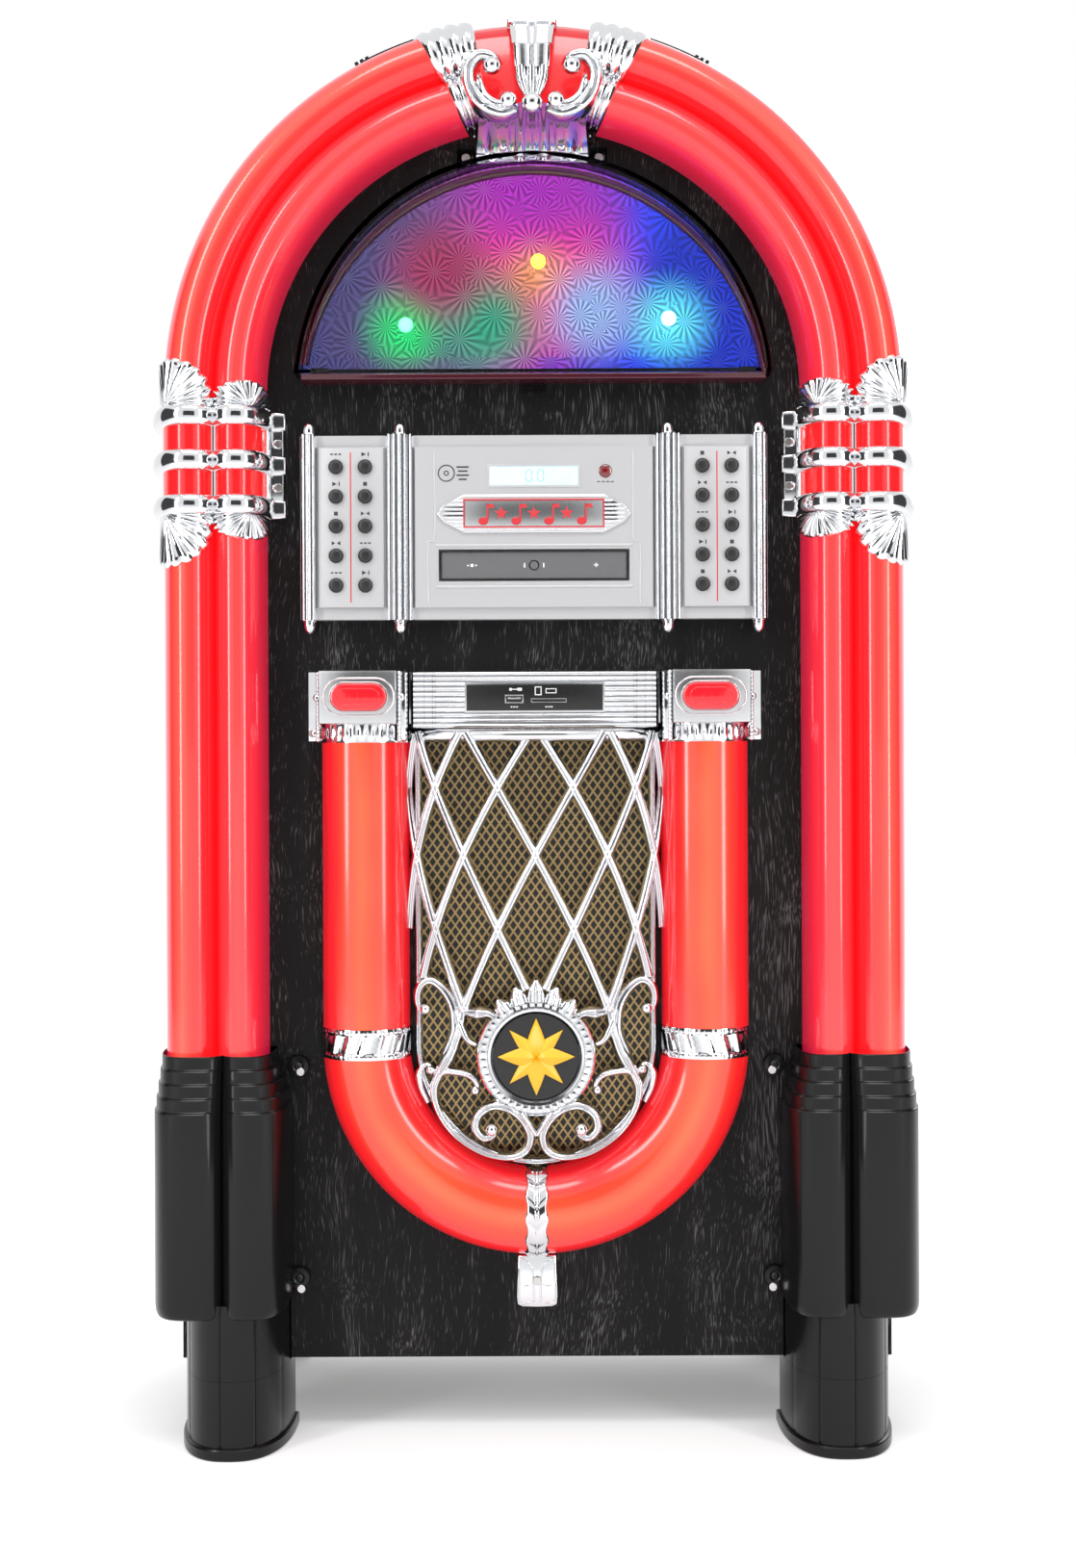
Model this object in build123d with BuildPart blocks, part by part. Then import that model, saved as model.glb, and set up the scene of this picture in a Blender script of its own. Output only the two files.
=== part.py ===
"""Arch-topped jukebox: a radio and disc player in a veneered cabinet with lit lenses and chrome.

Millimetres, +Z up, front towards -Y, origin on the floor under the middle of the whole object.
Each piece that comes off on the bench is a solid of its own and is written to its own file.
"""
import os
from math import cos, sin, sqrt

from build123d import *

os.makedirs("parts", exist_ok=True)

# ---------------------------------------------------------------------------- driving dimensions
# Cabinet
CABINET_WIDTH = 524.0
CABINET_DEPTH = 228.0
CABINET_BASE = 57.0         # height of the cabinet's underside
ARCH_CENTRE = 768.0         # height where the straight sides turn into the arch
BOARD = 15.0                # front board, sides and floor
BACK_BOARD = 6.0
FIT = 0.3                   # gap between curved faces that fit each other
SLIP = 0.5                  # gap round boards and plates let into an opening

# Outer lens: two rounded lobes side by side that wrap the cabinet's front corner
LENS_OVERHANG = 9.0         # past the cabinet's side
LENS_BAND = 74.2            # across both lobes
LENS_CREST = 42.0           # lobes in front of the face
LENS_BACK = 30.0            # edge behind the face
LENS_WALL = 3.0
LENS_FOOT = 244.0           # lower end, inside the sleeve
CROWN_HALF_ANGLE = 11.5     # degrees each side of the top that the crown lens fills

# Sleeves and front legs
SLEEVE_BASE = 100.0
SLEEVE_TOP = 287.0
SLEEVE_OVERLAP = 16.9       # past the lens towards the middle
SLEEVE_OVERHANG = 6.4       # past the lens at the side
SLEEVE_CREST = 62.0
SLEEVE_BACK = 38.0
SLEEVE_WALL = 5.0
RING_COUNT = 4
RING_PITCH = 9.7
RING_STEP_IN = 2.5          # each ring is this much slimmer towards the middle and the front
RING_STEP_SIDE = 1.2        # and this much at the side
LEG_MARGIN_IN = 2.1         # leg inside the sleeve's outline, towards the middle
LEG_MARGIN_SIDE = 18.0
LEG_CREST = 56.0
LEG_BACK = 25.0             # how far it reaches under the cabinet
LEG_WALL = 4.0
FOOT_RING = 8.6             # height of the ring at the leg's base
FOOT_RING_PROUD = 2.5
SPIGOT_CREST = 30.0         # of the leg's upper part, hidden in the sleeve
REAR_FOOT_WIDTH = 60.0
REAR_FOOT_LENGTH = 34.0
REAR_FOOT_INSET = 6.0

# U-shaped inner lens and its trims
TUBE_CENTRE_RADIUS = 125.0
TUBE_RADIUS = 32.0
TUBE_WALL = 3.0
TUBE_BEND_CENTRE = 291.0
BAND_HEIGHT = 20.0
BAND_PROUD = 3.0
CLASP_WIDTH = 16.5
CLASP_PROUD = 4.5
CLASP_TAIL_WIDTH = 31.5
CLASP_TAIL_HEIGHT = 39.0
CLASP_TAIL_THICKNESS = 6.0

# Switch housings at the top of the tube, and the ribbed strip between them
HOUSING_BASE = 511.4
HOUSING_HEIGHT = 52.1
HOUSING_FACE_WIDTH = 57.0
HOUSING_FLANGE_WIDTH = 78.0
HOUSING_PROUD = 45.0
HOUSING_SHIFT = 1.5         # housing's face outwards of the tube's middle
FLANGE_SHIFT = 2.0          # flange outwards of the face
HOUSING_WALL = 3.0
COLLAR_HEIGHT = 13.3
COLLAR_WALL = 3.3
SWITCH_WIDTH = 40.0
SWITCH_HEIGHT = 19.5
SWITCH_PROUD = 4.0
SWITCH_GAP = 0.4
STRIP_HEIGHT = 42.0
STRIP_PROUD = 14.0
STRIP_RIBS = 6
USB_WIDTH = 12.5
USB_HEIGHT = 5.1
USB_X = -15.0
CARD_SLOT_X = 10.3
CARD_SLOT_WIDTH = 25.5
CARD_SLOT_HEIGHT = 2.6
SOCKET_DEPTH = 22.0

# Control panel
PANEL_BASE = 601.5
PANEL_HEIGHT = 135.0
PANEL_HALF_WIDTH = 171.3
PANEL_PROUD = 12.0
PANEL_SKIN = 3.0
PLATE_PROUD = 3.0           # raised plates in front of the panel
PLATE_MARGIN = 8.7          # panel above and below them
CENTRE_PLATE_WIDTH = 174.0
INNER_PILLAR_X = 98.3
INNER_PILLAR_WIDTH = 22.5
OUTER_PILLAR_X = 165.0
OUTER_PILLAR_WIDTH = 12.5
PILLAR_PROUD = 8.0
PILLAR_KNOB = 8.0
WING_GAP = 0.6              # between a pillar and the plate with the buttons
BUTTON_COLUMNS = (123.5, 145.0)
BUTTON_ROWS = 5
BUTTON_PITCH = 21.7
BUTTON_DIAMETER = 10.8
BUTTON_GAP = 0.4
BUTTON_PROUD = 4.0
BUTTON_FLANGE = 1.4
BUTTON_RAISE = 0.9          # rows' middle above the panel's middle
TRAY_WIDTH = 136.0
TRAY_HEIGHT = 19.6
TRAY_DROP = 28.1            # tray's middle below the panel's middle
TRAY_LENGTH = 150.0
TRAY_GAP = 1.2
DISC_DIAMETER = 120.0
LCD_WIDTH = 66.7
LCD_HEIGHT = 15.8
LCD_RISE = 37.4             # above the panel's middle
SENSOR_X = 52.5
SENSOR_DIAMETER = 9.4
SENSOR_RISE = 40.6
NAMEPLATE_WIDTH = 142.0
NAMEPLATE_HEIGHT = 28.1
NAMEPLATE_RISE = 9.6

# Display window
HOOD_GAP = 21.8             # between the hood and the outer lens
HOOD_DROP = 1.0             # hood's centre under the arch's centre
HOOD_SILL = 13.6            # its flat edge above that centre
HOOD_PROUD = 24.0
HOOD_WALL = 3.0

# Grille, medallion and speakers
GRILLE_EDGE = 5.0
GRILLE_BULGE = 26.0
BAR_WIDTH = 7.5
BAR_DEPTH = 5.0
TOP_BAR_HEIGHT = 10.0
MEDALLION_RADIUS = 43.0
MEDALLION_DISC = 31.8
STAR_RADIUS = 27.9
SPEAKER_DIAMETER = 130.0
SPEAKER_SPACING = 140.0
SPEAKER_MIDDLE = 355.0

# Chrome clamps round the outer lens
CLAMP_MIDDLE = 715.7
CLAMP_PITCH = 32.3
CLAMP_BAND_HEIGHT = 14.5
CLAMP_PROUD = 11.6
CLAMP_PLATE = 3.0
CLAMP_FLANGE = 17.0
FAN_RADIUS = 30.0
FAN_REACH_UP = 14.0         # a fan may reach this far up the arch
INNER_FAN = 0.75            # of the outer fan

# Crown
CROWN_RISE = 11.0           # tab above the outer lens
CROWN_TAB_WIDTH = 32.0
CROWN_SKIRT_WIDTH = 84.0
STRAP_HALF_ANGLE = 5.5
RAIL_ANGLE = 29.0           # where the outer rails end, from the top

# Screws and the rear
SCREW_HEAD = 6.0
SCREW_SHANK = 3.0
SCREW_BITE = 9.0            # into the board behind
HEAD_HEIGHT = 2.0
TERMINAL_PROUD = 10.0

# ---------------------------------------------------------------------------- what follows from them
HALF = CABINET_WIDTH / 2
FRONT_PROUD = SLEEVE_CREST
FACE = (CABINET_DEPTH + TERMINAL_PROUD + FRONT_PROUD) / 2 - FRONT_PROUD
LENS_OUTER = HALF + LENS_OVERHANG
LENS_INNER = LENS_OUTER - LENS_BAND
CROWN_LENS_CREST = LENS_CREST - LENS_BAND / 4    # flat, up to where the lobes turn over
SLEEVE_INNER = LENS_INNER - SLEEVE_OVERLAP
SLEEVE_OUTER = LENS_OUTER + SLEEVE_OVERHANG
LEG_INNER = SLEEVE_INNER + LEG_MARGIN_IN
LEG_OUTER = SLEEVE_OUTER - LEG_MARGIN_SIDE
PANEL_MIDDLE = PANEL_BASE + PANEL_HEIGHT / 2
TRAY_MIDDLE = PANEL_MIDDLE - TRAY_DROP
PLATE_FRONT = PANEL_PROUD + PLATE_PROUD
WING_INNER = INNER_PILLAR_X + INNER_PILLAR_WIDTH / 2 + WING_GAP
WING_OUTER = OUTER_PILLAR_X - OUTER_PILLAR_WIDTH / 2 - 2 * WING_GAP
TUBE_OUTER = TUBE_CENTRE_RADIUS + TUBE_RADIUS
TUBE_INNER = TUBE_CENTRE_RADIUS - TUBE_RADIUS
GRILLE_HALF = TUBE_INNER - max(BAND_PROUD, CLASP_PROUD) - FIT
HOUSING_TOP = HOUSING_BASE + HOUSING_HEIGHT
HOUSING_X = TUBE_CENTRE_RADIUS + HOUSING_SHIFT
FLANGE_X = HOUSING_X + FLANGE_SHIFT
SWITCH_Z = HOUSING_BASE + COLLAR_HEIGHT + (HOUSING_HEIGHT - COLLAR_HEIGHT) / 2
STRIP_HALF = FLANGE_X - HOUSING_FLANGE_WIDTH / 2 - SLIP
STRIP_MIDDLE = HOUSING_TOP - STRIP_HEIGHT / 2
HOOD_RADIUS = LENS_INNER - HOOD_GAP
HOOD_CENTRE = ARCH_CENTRE - HOOD_DROP
HOOD_BASE = HOOD_CENTRE + HOOD_SILL
SKIRT_TOP = ARCH_CENTRE + sqrt(LENS_INNER ** 2 - (CROWN_SKIRT_WIDTH / 2) ** 2) - 2 * FIT
SKIRT_DROP = SKIRT_TOP - HOOD_CENTRE - HOOD_RADIUS - FIT    # down to the hood's top
LUG_RADIUS = 8.0
CLAMP_SPOT_IN = 9.0
LUG_OUT = 6.0               # screw's middle towards the middle of the cabinet
FLANGE_SPOT_IN = 3.6
FLANGE_SPOT_UP = 7.0
HOOD_TAB_X = 49.0
HOOD_TAB_OUT = 7.0
LUG_RISE = 9.0              # lower lug above the sleeve's base
ARCH_AXIS = Axis((0, 0, ARCH_CENTRE), (0, -1, 0))


def front(proud):
    """Upright plane that far in front of the cabinet's face; its sketches are seen from the front."""
    return Plane.XZ.offset(FACE + proud)


def plan(height):
    """Level plane seen from below: x to the right, y out of the cabinet's face; extrudes go down."""
    return Plane(origin=(0, -FACE, height), x_dir=(1, 0, 0), z_dir=(0, 0, -1))


def side(x):
    """Upright plane across the object; x is out of the face, y is up, and extrudes go left."""
    return Plane(origin=(x, -FACE, 0), x_dir=(0, -1, 0), z_dir=(-1, 0, 0))


def spoke(angle):
    """Plane through the arch's axis; x runs outwards, that many degrees above the level."""
    return plan(ARCH_CENTRE).rotated((0, -angle, 0))


def rear(proud):
    """Upright plane that far behind the cabinet's rear edge, seen from behind."""
    return Plane(origin=(0, CABINET_DEPTH - FACE + proud, 0), x_dir=(-1, 0, 0), z_dir=(0, 1, 0))


def both(*spots):
    """The same spots to the right and to the left of the middle."""
    return [(sign * x, z) for x, z in spots for sign in (1, -1)]


def arch_outline(half_width, base):
    """Upright outline with straight sides from base and a round top."""
    with BuildSketch() as outline:
        with BuildLine():
            Polyline((half_width, ARCH_CENTRE), (half_width, base), (-half_width, base),
                     (-half_width, ARCH_CENTRE))
            ThreePointArc((-half_width, ARCH_CENTRE), (0, ARCH_CENTRE + half_width),
                          (half_width, ARCH_CENTRE))
        make_face()
    return outline.sketch


def lobes(inner, outer, crest, back=0.0, grow=0.0):
    """Plan outline of two round lobes side by side, from inner to outer, standing on the face.

    The outer lobe runs back past the cabinet's corner.  grow makes it thicker all over,
    and a negative grow gives the inside of its wall.
    """
    radius = (outer - inner) / 4
    valley = (inner + outer) / 2
    spring = crest - radius
    top = crest + grow
    corner = HALF + FIT if back else outer + grow
    if grow < 0:
        meet_in, meet_out = (valley + grow, spring), (valley - grow, spring)
        joint = [meet_in, (valley + grow, spring + grow), (valley - grow, spring + grow), meet_out]
    else:
        meet_in = meet_out = (valley, spring + sqrt((radius + grow) ** 2 - radius ** 2))
        joint = []
    with BuildSketch() as outline:
        with BuildLine():
            Line((inner - grow, 0), (inner - grow, spring))
            ThreePointArc((inner - grow, spring), (inner + radius, top), meet_in)
            if joint:
                Polyline(*joint)
            ThreePointArc(meet_out, (outer - radius, top), (outer + grow, spring))
            if back:
                Polyline((outer + grow, spring), (outer + grow, -back), (corner, -back), (corner, 0),
                         (inner - grow, 0))
            else:
                Polyline((outer + grow, spring), (outer + grow, 0), (inner - grow, 0))
        make_face()
    return outline.sketch


def hoop(inner_radius, outer_radius, centre):
    """Half-round hoop that stands on the face, in the tube's own section."""
    with BuildSketch() as outline:
        with Locations((centre, 0)):
            Circle(outer_radius)
            Circle(inner_radius, mode=Mode.SUBTRACT)
            Rectangle(4 * outer_radius, 2 * outer_radius, align=(Align.CENTER, Align.MIN),
                      mode=Mode.INTERSECT)
    return outline.sketch


def u_outline(half_width, top):
    """Upright outline with a round bottom about the tube's bend centre."""
    with BuildSketch() as outline:
        with BuildLine():
            Polyline((-half_width, TUBE_BEND_CENTRE), (-half_width, top), (half_width, top),
                     (half_width, TUBE_BEND_CENTRE))
            ThreePointArc((half_width, TUBE_BEND_CENTRE), (0, TUBE_BEND_CENTRE - half_width),
                          (-half_width, TUBE_BEND_CENTRE))
        make_face()
    return outline.sketch


def window_outline(inset=0.0):
    """Upright outline of the display window: the upper part of a disc, cut by a level sill."""
    with BuildSketch() as outline:
        with Locations((0, HOOD_CENTRE)):
            Circle(HOOD_RADIUS - inset)
        with Locations((0, HOOD_BASE + inset)):
            Rectangle(3 * HOOD_RADIUS, 2 * HOOD_RADIUS, align=(Align.CENTER, Align.MIN),
                      mode=Mode.INTERSECT)
    return outline.sketch


def save(builder, name):
    """Label the finished piece and write its file."""
    builder.part.label = name
    export_step(builder.part, f"parts/{name}.step")


LENS_OUTSIDE = lobes(LENS_INNER, LENS_OUTER, LENS_CREST, LENS_BACK)
LENS_INSIDE = lobes(LENS_INNER, LENS_OUTER, LENS_CREST, LENS_BACK, grow=-LENS_WALL)
LENS_CLEAR = lobes(LENS_INNER, LENS_OUTER, LENS_CREST, LENS_BACK, grow=FIT)
SPIGOT = lobes(LENS_INNER, HALF - FIT, SPIGOT_CREST)
SPIGOT_CLEAR = lobes(LENS_INNER, HALF - FIT, SPIGOT_CREST, grow=FIT)

# Screw spots on the face, each an (x, height) pair
LUG_X = SLEEVE_INNER - LUG_OUT
LUG_SPOTS = both((LUG_X, SLEEVE_BASE + LUG_RISE), (LUG_X, SLEEVE_TOP - 2 * LUG_RISE))
CLAMP_SPOTS = both((LENS_INNER - CLAMP_SPOT_IN, CLAMP_MIDDLE + CLAMP_PITCH / 2),
                   (LENS_INNER - CLAMP_SPOT_IN, CLAMP_MIDDLE - CLAMP_PITCH / 2))
SKIRT_SPOTS = both((CROWN_SKIRT_WIDTH / 4, SKIRT_TOP - SKIRT_DROP / 2))
HOUSING_SPOTS = both((FLANGE_X + HOUSING_FLANGE_WIDTH / 2 - FLANGE_SPOT_IN,
                      HOUSING_BASE + FLANGE_SPOT_UP))
HOOD_SPOTS = both((HOOD_TAB_X, HOOD_CENTRE + sqrt(HOOD_RADIUS ** 2 - HOOD_TAB_X ** 2) + HOOD_TAB_OUT))
TAIL_SPOT = (0, TUBE_BEND_CENTRE - TUBE_OUTER - CLASP_TAIL_HEIGHT / 2)
LUG_THICKNESS = 4.0
FLANGE_THICKNESS = 3.0
SKIRT_THICKNESS = 16.0
FACE_SCREWS = (
    (LUG_SPOTS, LUG_THICKNESS),
    (CLAMP_SPOTS, FLANGE_THICKNESS),
    (SKIRT_SPOTS, SKIRT_THICKNESS),
    (HOUSING_SPOTS, FLANGE_THICKNESS),
    (HOOD_SPOTS, HOOD_WALL),
    ([TAIL_SPOT], CLASP_TAIL_THICKNESS),
)
SCREW_HOLE = SCREW_SHANK / 2 + FIT

# ---------------------------------------------------------------------------- cabinet
SPEAKER_SPOTS = [(0, SPEAKER_MIDDLE + SPEAKER_SPACING / 2), (0, SPEAKER_MIDDLE - SPEAKER_SPACING / 2)]
SPEAKER_OPENING = SPEAKER_DIAMETER / 2 - 8.0
PANEL_OPENING_MARGIN = 12.0
SOCKET_BLOCK_WIDTH = 84.0
SOCKET_BLOCK_HEIGHT = 24.0
TERMINAL_PLATE_WIDTH = 170.0
TERMINAL_PLATE_HEIGHT = 96.0
TERMINAL_PLATE_Z = 190.0
TERMINAL_LAP = 10.0         # plate laps over the edge of its opening

with BuildPart() as cabinet_front:
    with BuildSketch(front(0)):
        add(arch_outline(HALF, CABINET_BASE))
        with Locations(*SPEAKER_SPOTS):
            Circle(SPEAKER_OPENING, mode=Mode.SUBTRACT)
        with Locations((0, PANEL_MIDDLE)):
            Rectangle(2 * (PANEL_HALF_WIDTH - PANEL_OPENING_MARGIN),
                      PANEL_HEIGHT - 2 * PANEL_OPENING_MARGIN, mode=Mode.SUBTRACT)
        with Locations((0, STRIP_MIDDLE)):
            Rectangle(SOCKET_BLOCK_WIDTH + 2 * SLIP, SOCKET_BLOCK_HEIGHT + 2 * SLIP, mode=Mode.SUBTRACT)
    extrude(amount=-BOARD)
    with BuildSketch(front(0)):
        for spots, _ in FACE_SCREWS:
            with Locations(*spots):
                Circle(SCREW_HOLE)
    extrude(amount=-SCREW_BITE - FIT, mode=Mode.SUBTRACT)
save(cabinet_front, "cabinet_front")

with BuildPart() as cabinet_wrap:
    with BuildSketch(front(-BOARD)):
        add(arch_outline(HALF, CABINET_BASE))
        add(arch_outline(HALF - BOARD, CABINET_BASE), mode=Mode.SUBTRACT)
    extrude(amount=BOARD - CABINET_DEPTH)
save(cabinet_wrap, "cabinet_wrap")

with BuildPart() as cabinet_floor:
    with BuildSketch(front(-BOARD)):
        with Locations((0, CABINET_BASE)):
            Rectangle(CABINET_WIDTH - 2 * BOARD, BOARD, align=(Align.CENTER, Align.MIN))
    extrude(amount=BOARD + BACK_BOARD - CABINET_DEPTH)
save(cabinet_floor, "cabinet_floor")

BACK_SCREW_INSET = 12.0
BACK_HALF = HALF - BOARD - SLIP
BACK_SIDE_HEIGHTS = [CABINET_BASE + 60.0 + step * (ARCH_CENTRE - CABINET_BASE - 60.0) / 3
                     for step in range(4)]
BACK_SPOTS = both(*[(BACK_HALF - BACK_SCREW_INSET, z) for z in BACK_SIDE_HEIGHTS])
BACK_SPOTS += [(0, ARCH_CENTRE + BACK_HALF - BACK_SCREW_INSET)]
VENT_COUNT = 7
VENT_PITCH = 14.0

with BuildPart() as back_panel:
    with BuildSketch(rear(0)):
        add(arch_outline(BACK_HALF, CABINET_BASE))
        with Locations((0, TERMINAL_PLATE_Z)):
            Rectangle(TERMINAL_PLATE_WIDTH - 2 * TERMINAL_LAP,
                      TERMINAL_PLATE_HEIGHT - 2 * TERMINAL_LAP, mode=Mode.SUBTRACT)
        with Locations((0, ARCH_CENTRE)):
            with GridLocations(0, VENT_PITCH, 1, VENT_COUNT):
                SlotOverall(CABINET_WIDTH / 3, VENT_PITCH / 2, mode=Mode.SUBTRACT)
        with Locations(*BACK_SPOTS):
            Circle(SCREW_HOLE, mode=Mode.SUBTRACT)
    extrude(amount=-BACK_BOARD)
save(back_panel, "back_panel")

with BuildPart() as trim_screws:
    for spots, seat in FACE_SCREWS:
        with BuildSketch(front(seat)):
            with Locations(*spots):
                Circle(SCREW_HEAD / 2)
        extrude(amount=HEAD_HEIGHT)
        with BuildSketch(front(seat)):
            with Locations(*spots):
                Circle(SCREW_SHANK / 2)
        extrude(amount=-seat - SCREW_BITE)
    with BuildSketch(rear(0)):
        with Locations(*BACK_SPOTS):
            Circle(SCREW_HEAD / 2)
    extrude(amount=HEAD_HEIGHT)
    with BuildSketch(rear(0)):
        with Locations(*BACK_SPOTS):
            Circle(SCREW_SHANK / 2)
    extrude(amount=-BACK_BOARD)
save(trim_screws, "trim_screws")

REAR_FOOT_X = HALF - BOARD - REAR_FOOT_WIDTH / 2

with BuildPart() as rear_feet:
    with BuildSketch(plan(CABINET_BASE)):
        with Locations((REAR_FOOT_X, REAR_FOOT_INSET - CABINET_DEPTH),
                       (-REAR_FOOT_X, REAR_FOOT_INSET - CABINET_DEPTH)):
            RectangleRounded(REAR_FOOT_WIDTH, REAR_FOOT_LENGTH, 6.0, align=(Align.CENTER, Align.MIN))
    extrude(amount=CABINET_BASE)
save(rear_feet, "rear_feet")

# ---------------------------------------------------------------------------- legs and sleeves
LEG_MIDDLE = (LEG_INNER + LEG_OUTER) / 2

with BuildPart() as leg_right:
    with BuildSketch(plan(SLEEVE_BASE)):
        add(lobes(LEG_INNER, LEG_OUTER, LEG_CREST))
    extrude(amount=SLEEVE_BASE)
    with BuildSketch(plan(CABINET_BASE)):
        with Locations((LEG_MIDDLE, 0)):
            Rectangle(LEG_OUTER - LEG_INNER, LEG_BACK, align=(Align.CENTER, Align.MAX))
    extrude(amount=CABINET_BASE)
    with BuildSketch(plan(FOOT_RING)):
        add(lobes(LEG_INNER, LEG_OUTER, LEG_CREST, grow=FOOT_RING_PROUD))
    extrude(amount=FOOT_RING)
    with BuildSketch(plan(LENS_FOOT)):
        add(SPIGOT)
    extrude(amount=LENS_FOOT - SLEEVE_BASE)
    with BuildSketch(plan(SLEEVE_BASE - LEG_WALL)):
        add(lobes(LEG_INNER, LEG_OUTER, LEG_CREST, grow=-LEG_WALL))
    extrude(amount=SLEEVE_BASE - LEG_WALL - FOOT_RING, mode=Mode.SUBTRACT)
save(leg_right, "leg_right")

with BuildPart() as leg_left:
    mirror(leg_right.part, about=Plane.YZ)
save(leg_left, "leg_left")

with BuildPart() as sleeve_right:
    with BuildSketch(plan(SLEEVE_TOP - RING_COUNT * RING_PITCH)):
        add(lobes(SLEEVE_INNER, SLEEVE_OUTER, SLEEVE_CREST, SLEEVE_BACK))
    extrude(amount=SLEEVE_TOP - RING_COUNT * RING_PITCH - SLEEVE_BASE)
    for ring in range(1, RING_COUNT + 1):
        with BuildSketch(plan(SLEEVE_TOP - (RING_COUNT - ring) * RING_PITCH)):
            add(lobes(SLEEVE_INNER + ring * RING_STEP_IN, SLEEVE_OUTER - ring * RING_STEP_SIDE,
                      SLEEVE_CREST - ring * RING_STEP_IN, SLEEVE_BACK - ring * RING_STEP_SIDE))
        extrude(amount=RING_PITCH)
    with BuildSketch(front(0)):
        for x, z in LUG_SPOTS[::2]:
            with Locations((x, z)):
                Rectangle(4 * LUG_RADIUS, 2 * LUG_RADIUS, align=(Align.MIN, Align.CENTER))
                Circle(LUG_RADIUS)
        with Locations(*LUG_SPOTS[::2]):
            Circle(SCREW_HOLE, mode=Mode.SUBTRACT)
    extrude(amount=LUG_THICKNESS)
    with BuildSketch(plan(SLEEVE_TOP)):
        add(LENS_CLEAR)
    extrude(amount=SLEEVE_TOP - LENS_FOOT, mode=Mode.SUBTRACT)
    with BuildSketch(plan(LENS_FOOT)):
        add(lobes(SLEEVE_INNER, SLEEVE_OUTER, SLEEVE_CREST, SLEEVE_BACK, grow=-SLEEVE_WALL))
    extrude(amount=LENS_FOOT - SLEEVE_BASE - SLEEVE_WALL, mode=Mode.SUBTRACT)
    with BuildSketch(plan(SLEEVE_BASE + SLEEVE_WALL)):
        add(SPIGOT_CLEAR)
    extrude(amount=SLEEVE_WALL, mode=Mode.SUBTRACT)
save(sleeve_right, "sleeve_right")

with BuildPart() as sleeve_left:
    mirror(sleeve_right.part, about=Plane.YZ)
save(sleeve_left, "sleeve_left")

# ---------------------------------------------------------------------------- lit lenses
with BuildPart() as outer_lens_right:
    with BuildSketch(plan(ARCH_CENTRE)):
        add(LENS_OUTSIDE)
        add(LENS_INSIDE, mode=Mode.SUBTRACT)
    extrude(amount=ARCH_CENTRE - LENS_FOOT)
    with BuildSketch(plan(ARCH_CENTRE)):
        add(LENS_OUTSIDE)
        add(LENS_INSIDE, mode=Mode.SUBTRACT)
    revolve(axis=ARCH_AXIS, revolution_arc=90 - CROWN_HALF_ANGLE)
save(outer_lens_right, "outer_lens_right")

with BuildPart() as outer_lens_left:
    mirror(outer_lens_right.part, about=Plane.YZ)
save(outer_lens_left, "outer_lens_left")

CROWN_GAP_ANGLE = 0.1

with BuildPart() as crown_lens:
    with BuildSketch(spoke(90 - CROWN_HALF_ANGLE + CROWN_GAP_ANGLE)):
        with BuildLine():
            Polyline((LENS_INNER, 0), (LENS_INNER, CROWN_LENS_CREST), (LENS_OUTER, CROWN_LENS_CREST),
                     (LENS_OUTER, -LENS_BACK), (LENS_OUTER - LENS_WALL, -LENS_BACK),
                     (LENS_OUTER - LENS_WALL, CROWN_LENS_CREST - LENS_WALL),
                     (LENS_INNER + LENS_WALL, CROWN_LENS_CREST - LENS_WALL),
                     (LENS_INNER + LENS_WALL, 0), close=True)
        make_face()
    revolve(axis=ARCH_AXIS, revolution_arc=2 * (CROWN_HALF_ANGLE - CROWN_GAP_ANGLE))
save(crown_lens, "crown_lens")

TUBE_AXIS = Axis((0, 0, TUBE_BEND_CENTRE), (0, 1, 0))
TUBE_SECTION = hoop(TUBE_RADIUS - TUBE_WALL, TUBE_RADIUS, TUBE_CENTRE_RADIUS)
TUBE_ENTRY = 8.0            # how far the tube runs up into its housing's collar
TUBE_HALF_GAP_ANGLE = 0.2

with BuildPart() as inner_lens_right:
    with BuildSketch(plan(HOUSING_BASE + TUBE_ENTRY)):
        add(TUBE_SECTION)
    extrude(amount=HOUSING_BASE + TUBE_ENTRY - TUBE_BEND_CENTRE)
    with BuildSketch(plan(TUBE_BEND_CENTRE)):
        add(TUBE_SECTION)
    revolve(axis=TUBE_AXIS, revolution_arc=90 - TUBE_HALF_GAP_ANGLE)
save(inner_lens_right, "inner_lens_right")

with BuildPart() as inner_lens_left:
    mirror(inner_lens_right.part, about=Plane.YZ)
save(inner_lens_left, "inner_lens_left")

BOARD_THICKNESS = 1.6       # of the lamp boards
BOARD_INSET = 8.0
TUBE_BOARD = TUBE_RADIUS - TUBE_WALL - BOARD_INSET

with BuildPart() as lamp_boards:
    with BuildSketch(front(0)):
        add(arch_outline(LENS_OUTER - LENS_WALL - BOARD_INSET, LENS_FOOT))
        add(arch_outline(LENS_INNER + LENS_WALL + BOARD_INSET, LENS_FOOT), mode=Mode.SUBTRACT)
        add(arch_outline(HALF, LENS_FOOT), mode=Mode.INTERSECT)
        add(u_outline(TUBE_CENTRE_RADIUS + TUBE_BOARD, HOUSING_BASE))
        add(u_outline(TUBE_CENTRE_RADIUS - TUBE_BOARD, HOUSING_BASE), mode=Mode.SUBTRACT)
    extrude(amount=BOARD_THICKNESS)
save(lamp_boards, "lamp_boards")

BAND_STRAIGHT = 0.6 * BAND_HEIGHT    # share of a band above the bend
BAND_ANGLE = 3.6            # degrees of the bend that a band covers
BAND_SECTION = hoop(TUBE_RADIUS + FIT, TUBE_RADIUS + BAND_PROUD, TUBE_CENTRE_RADIUS)

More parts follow.
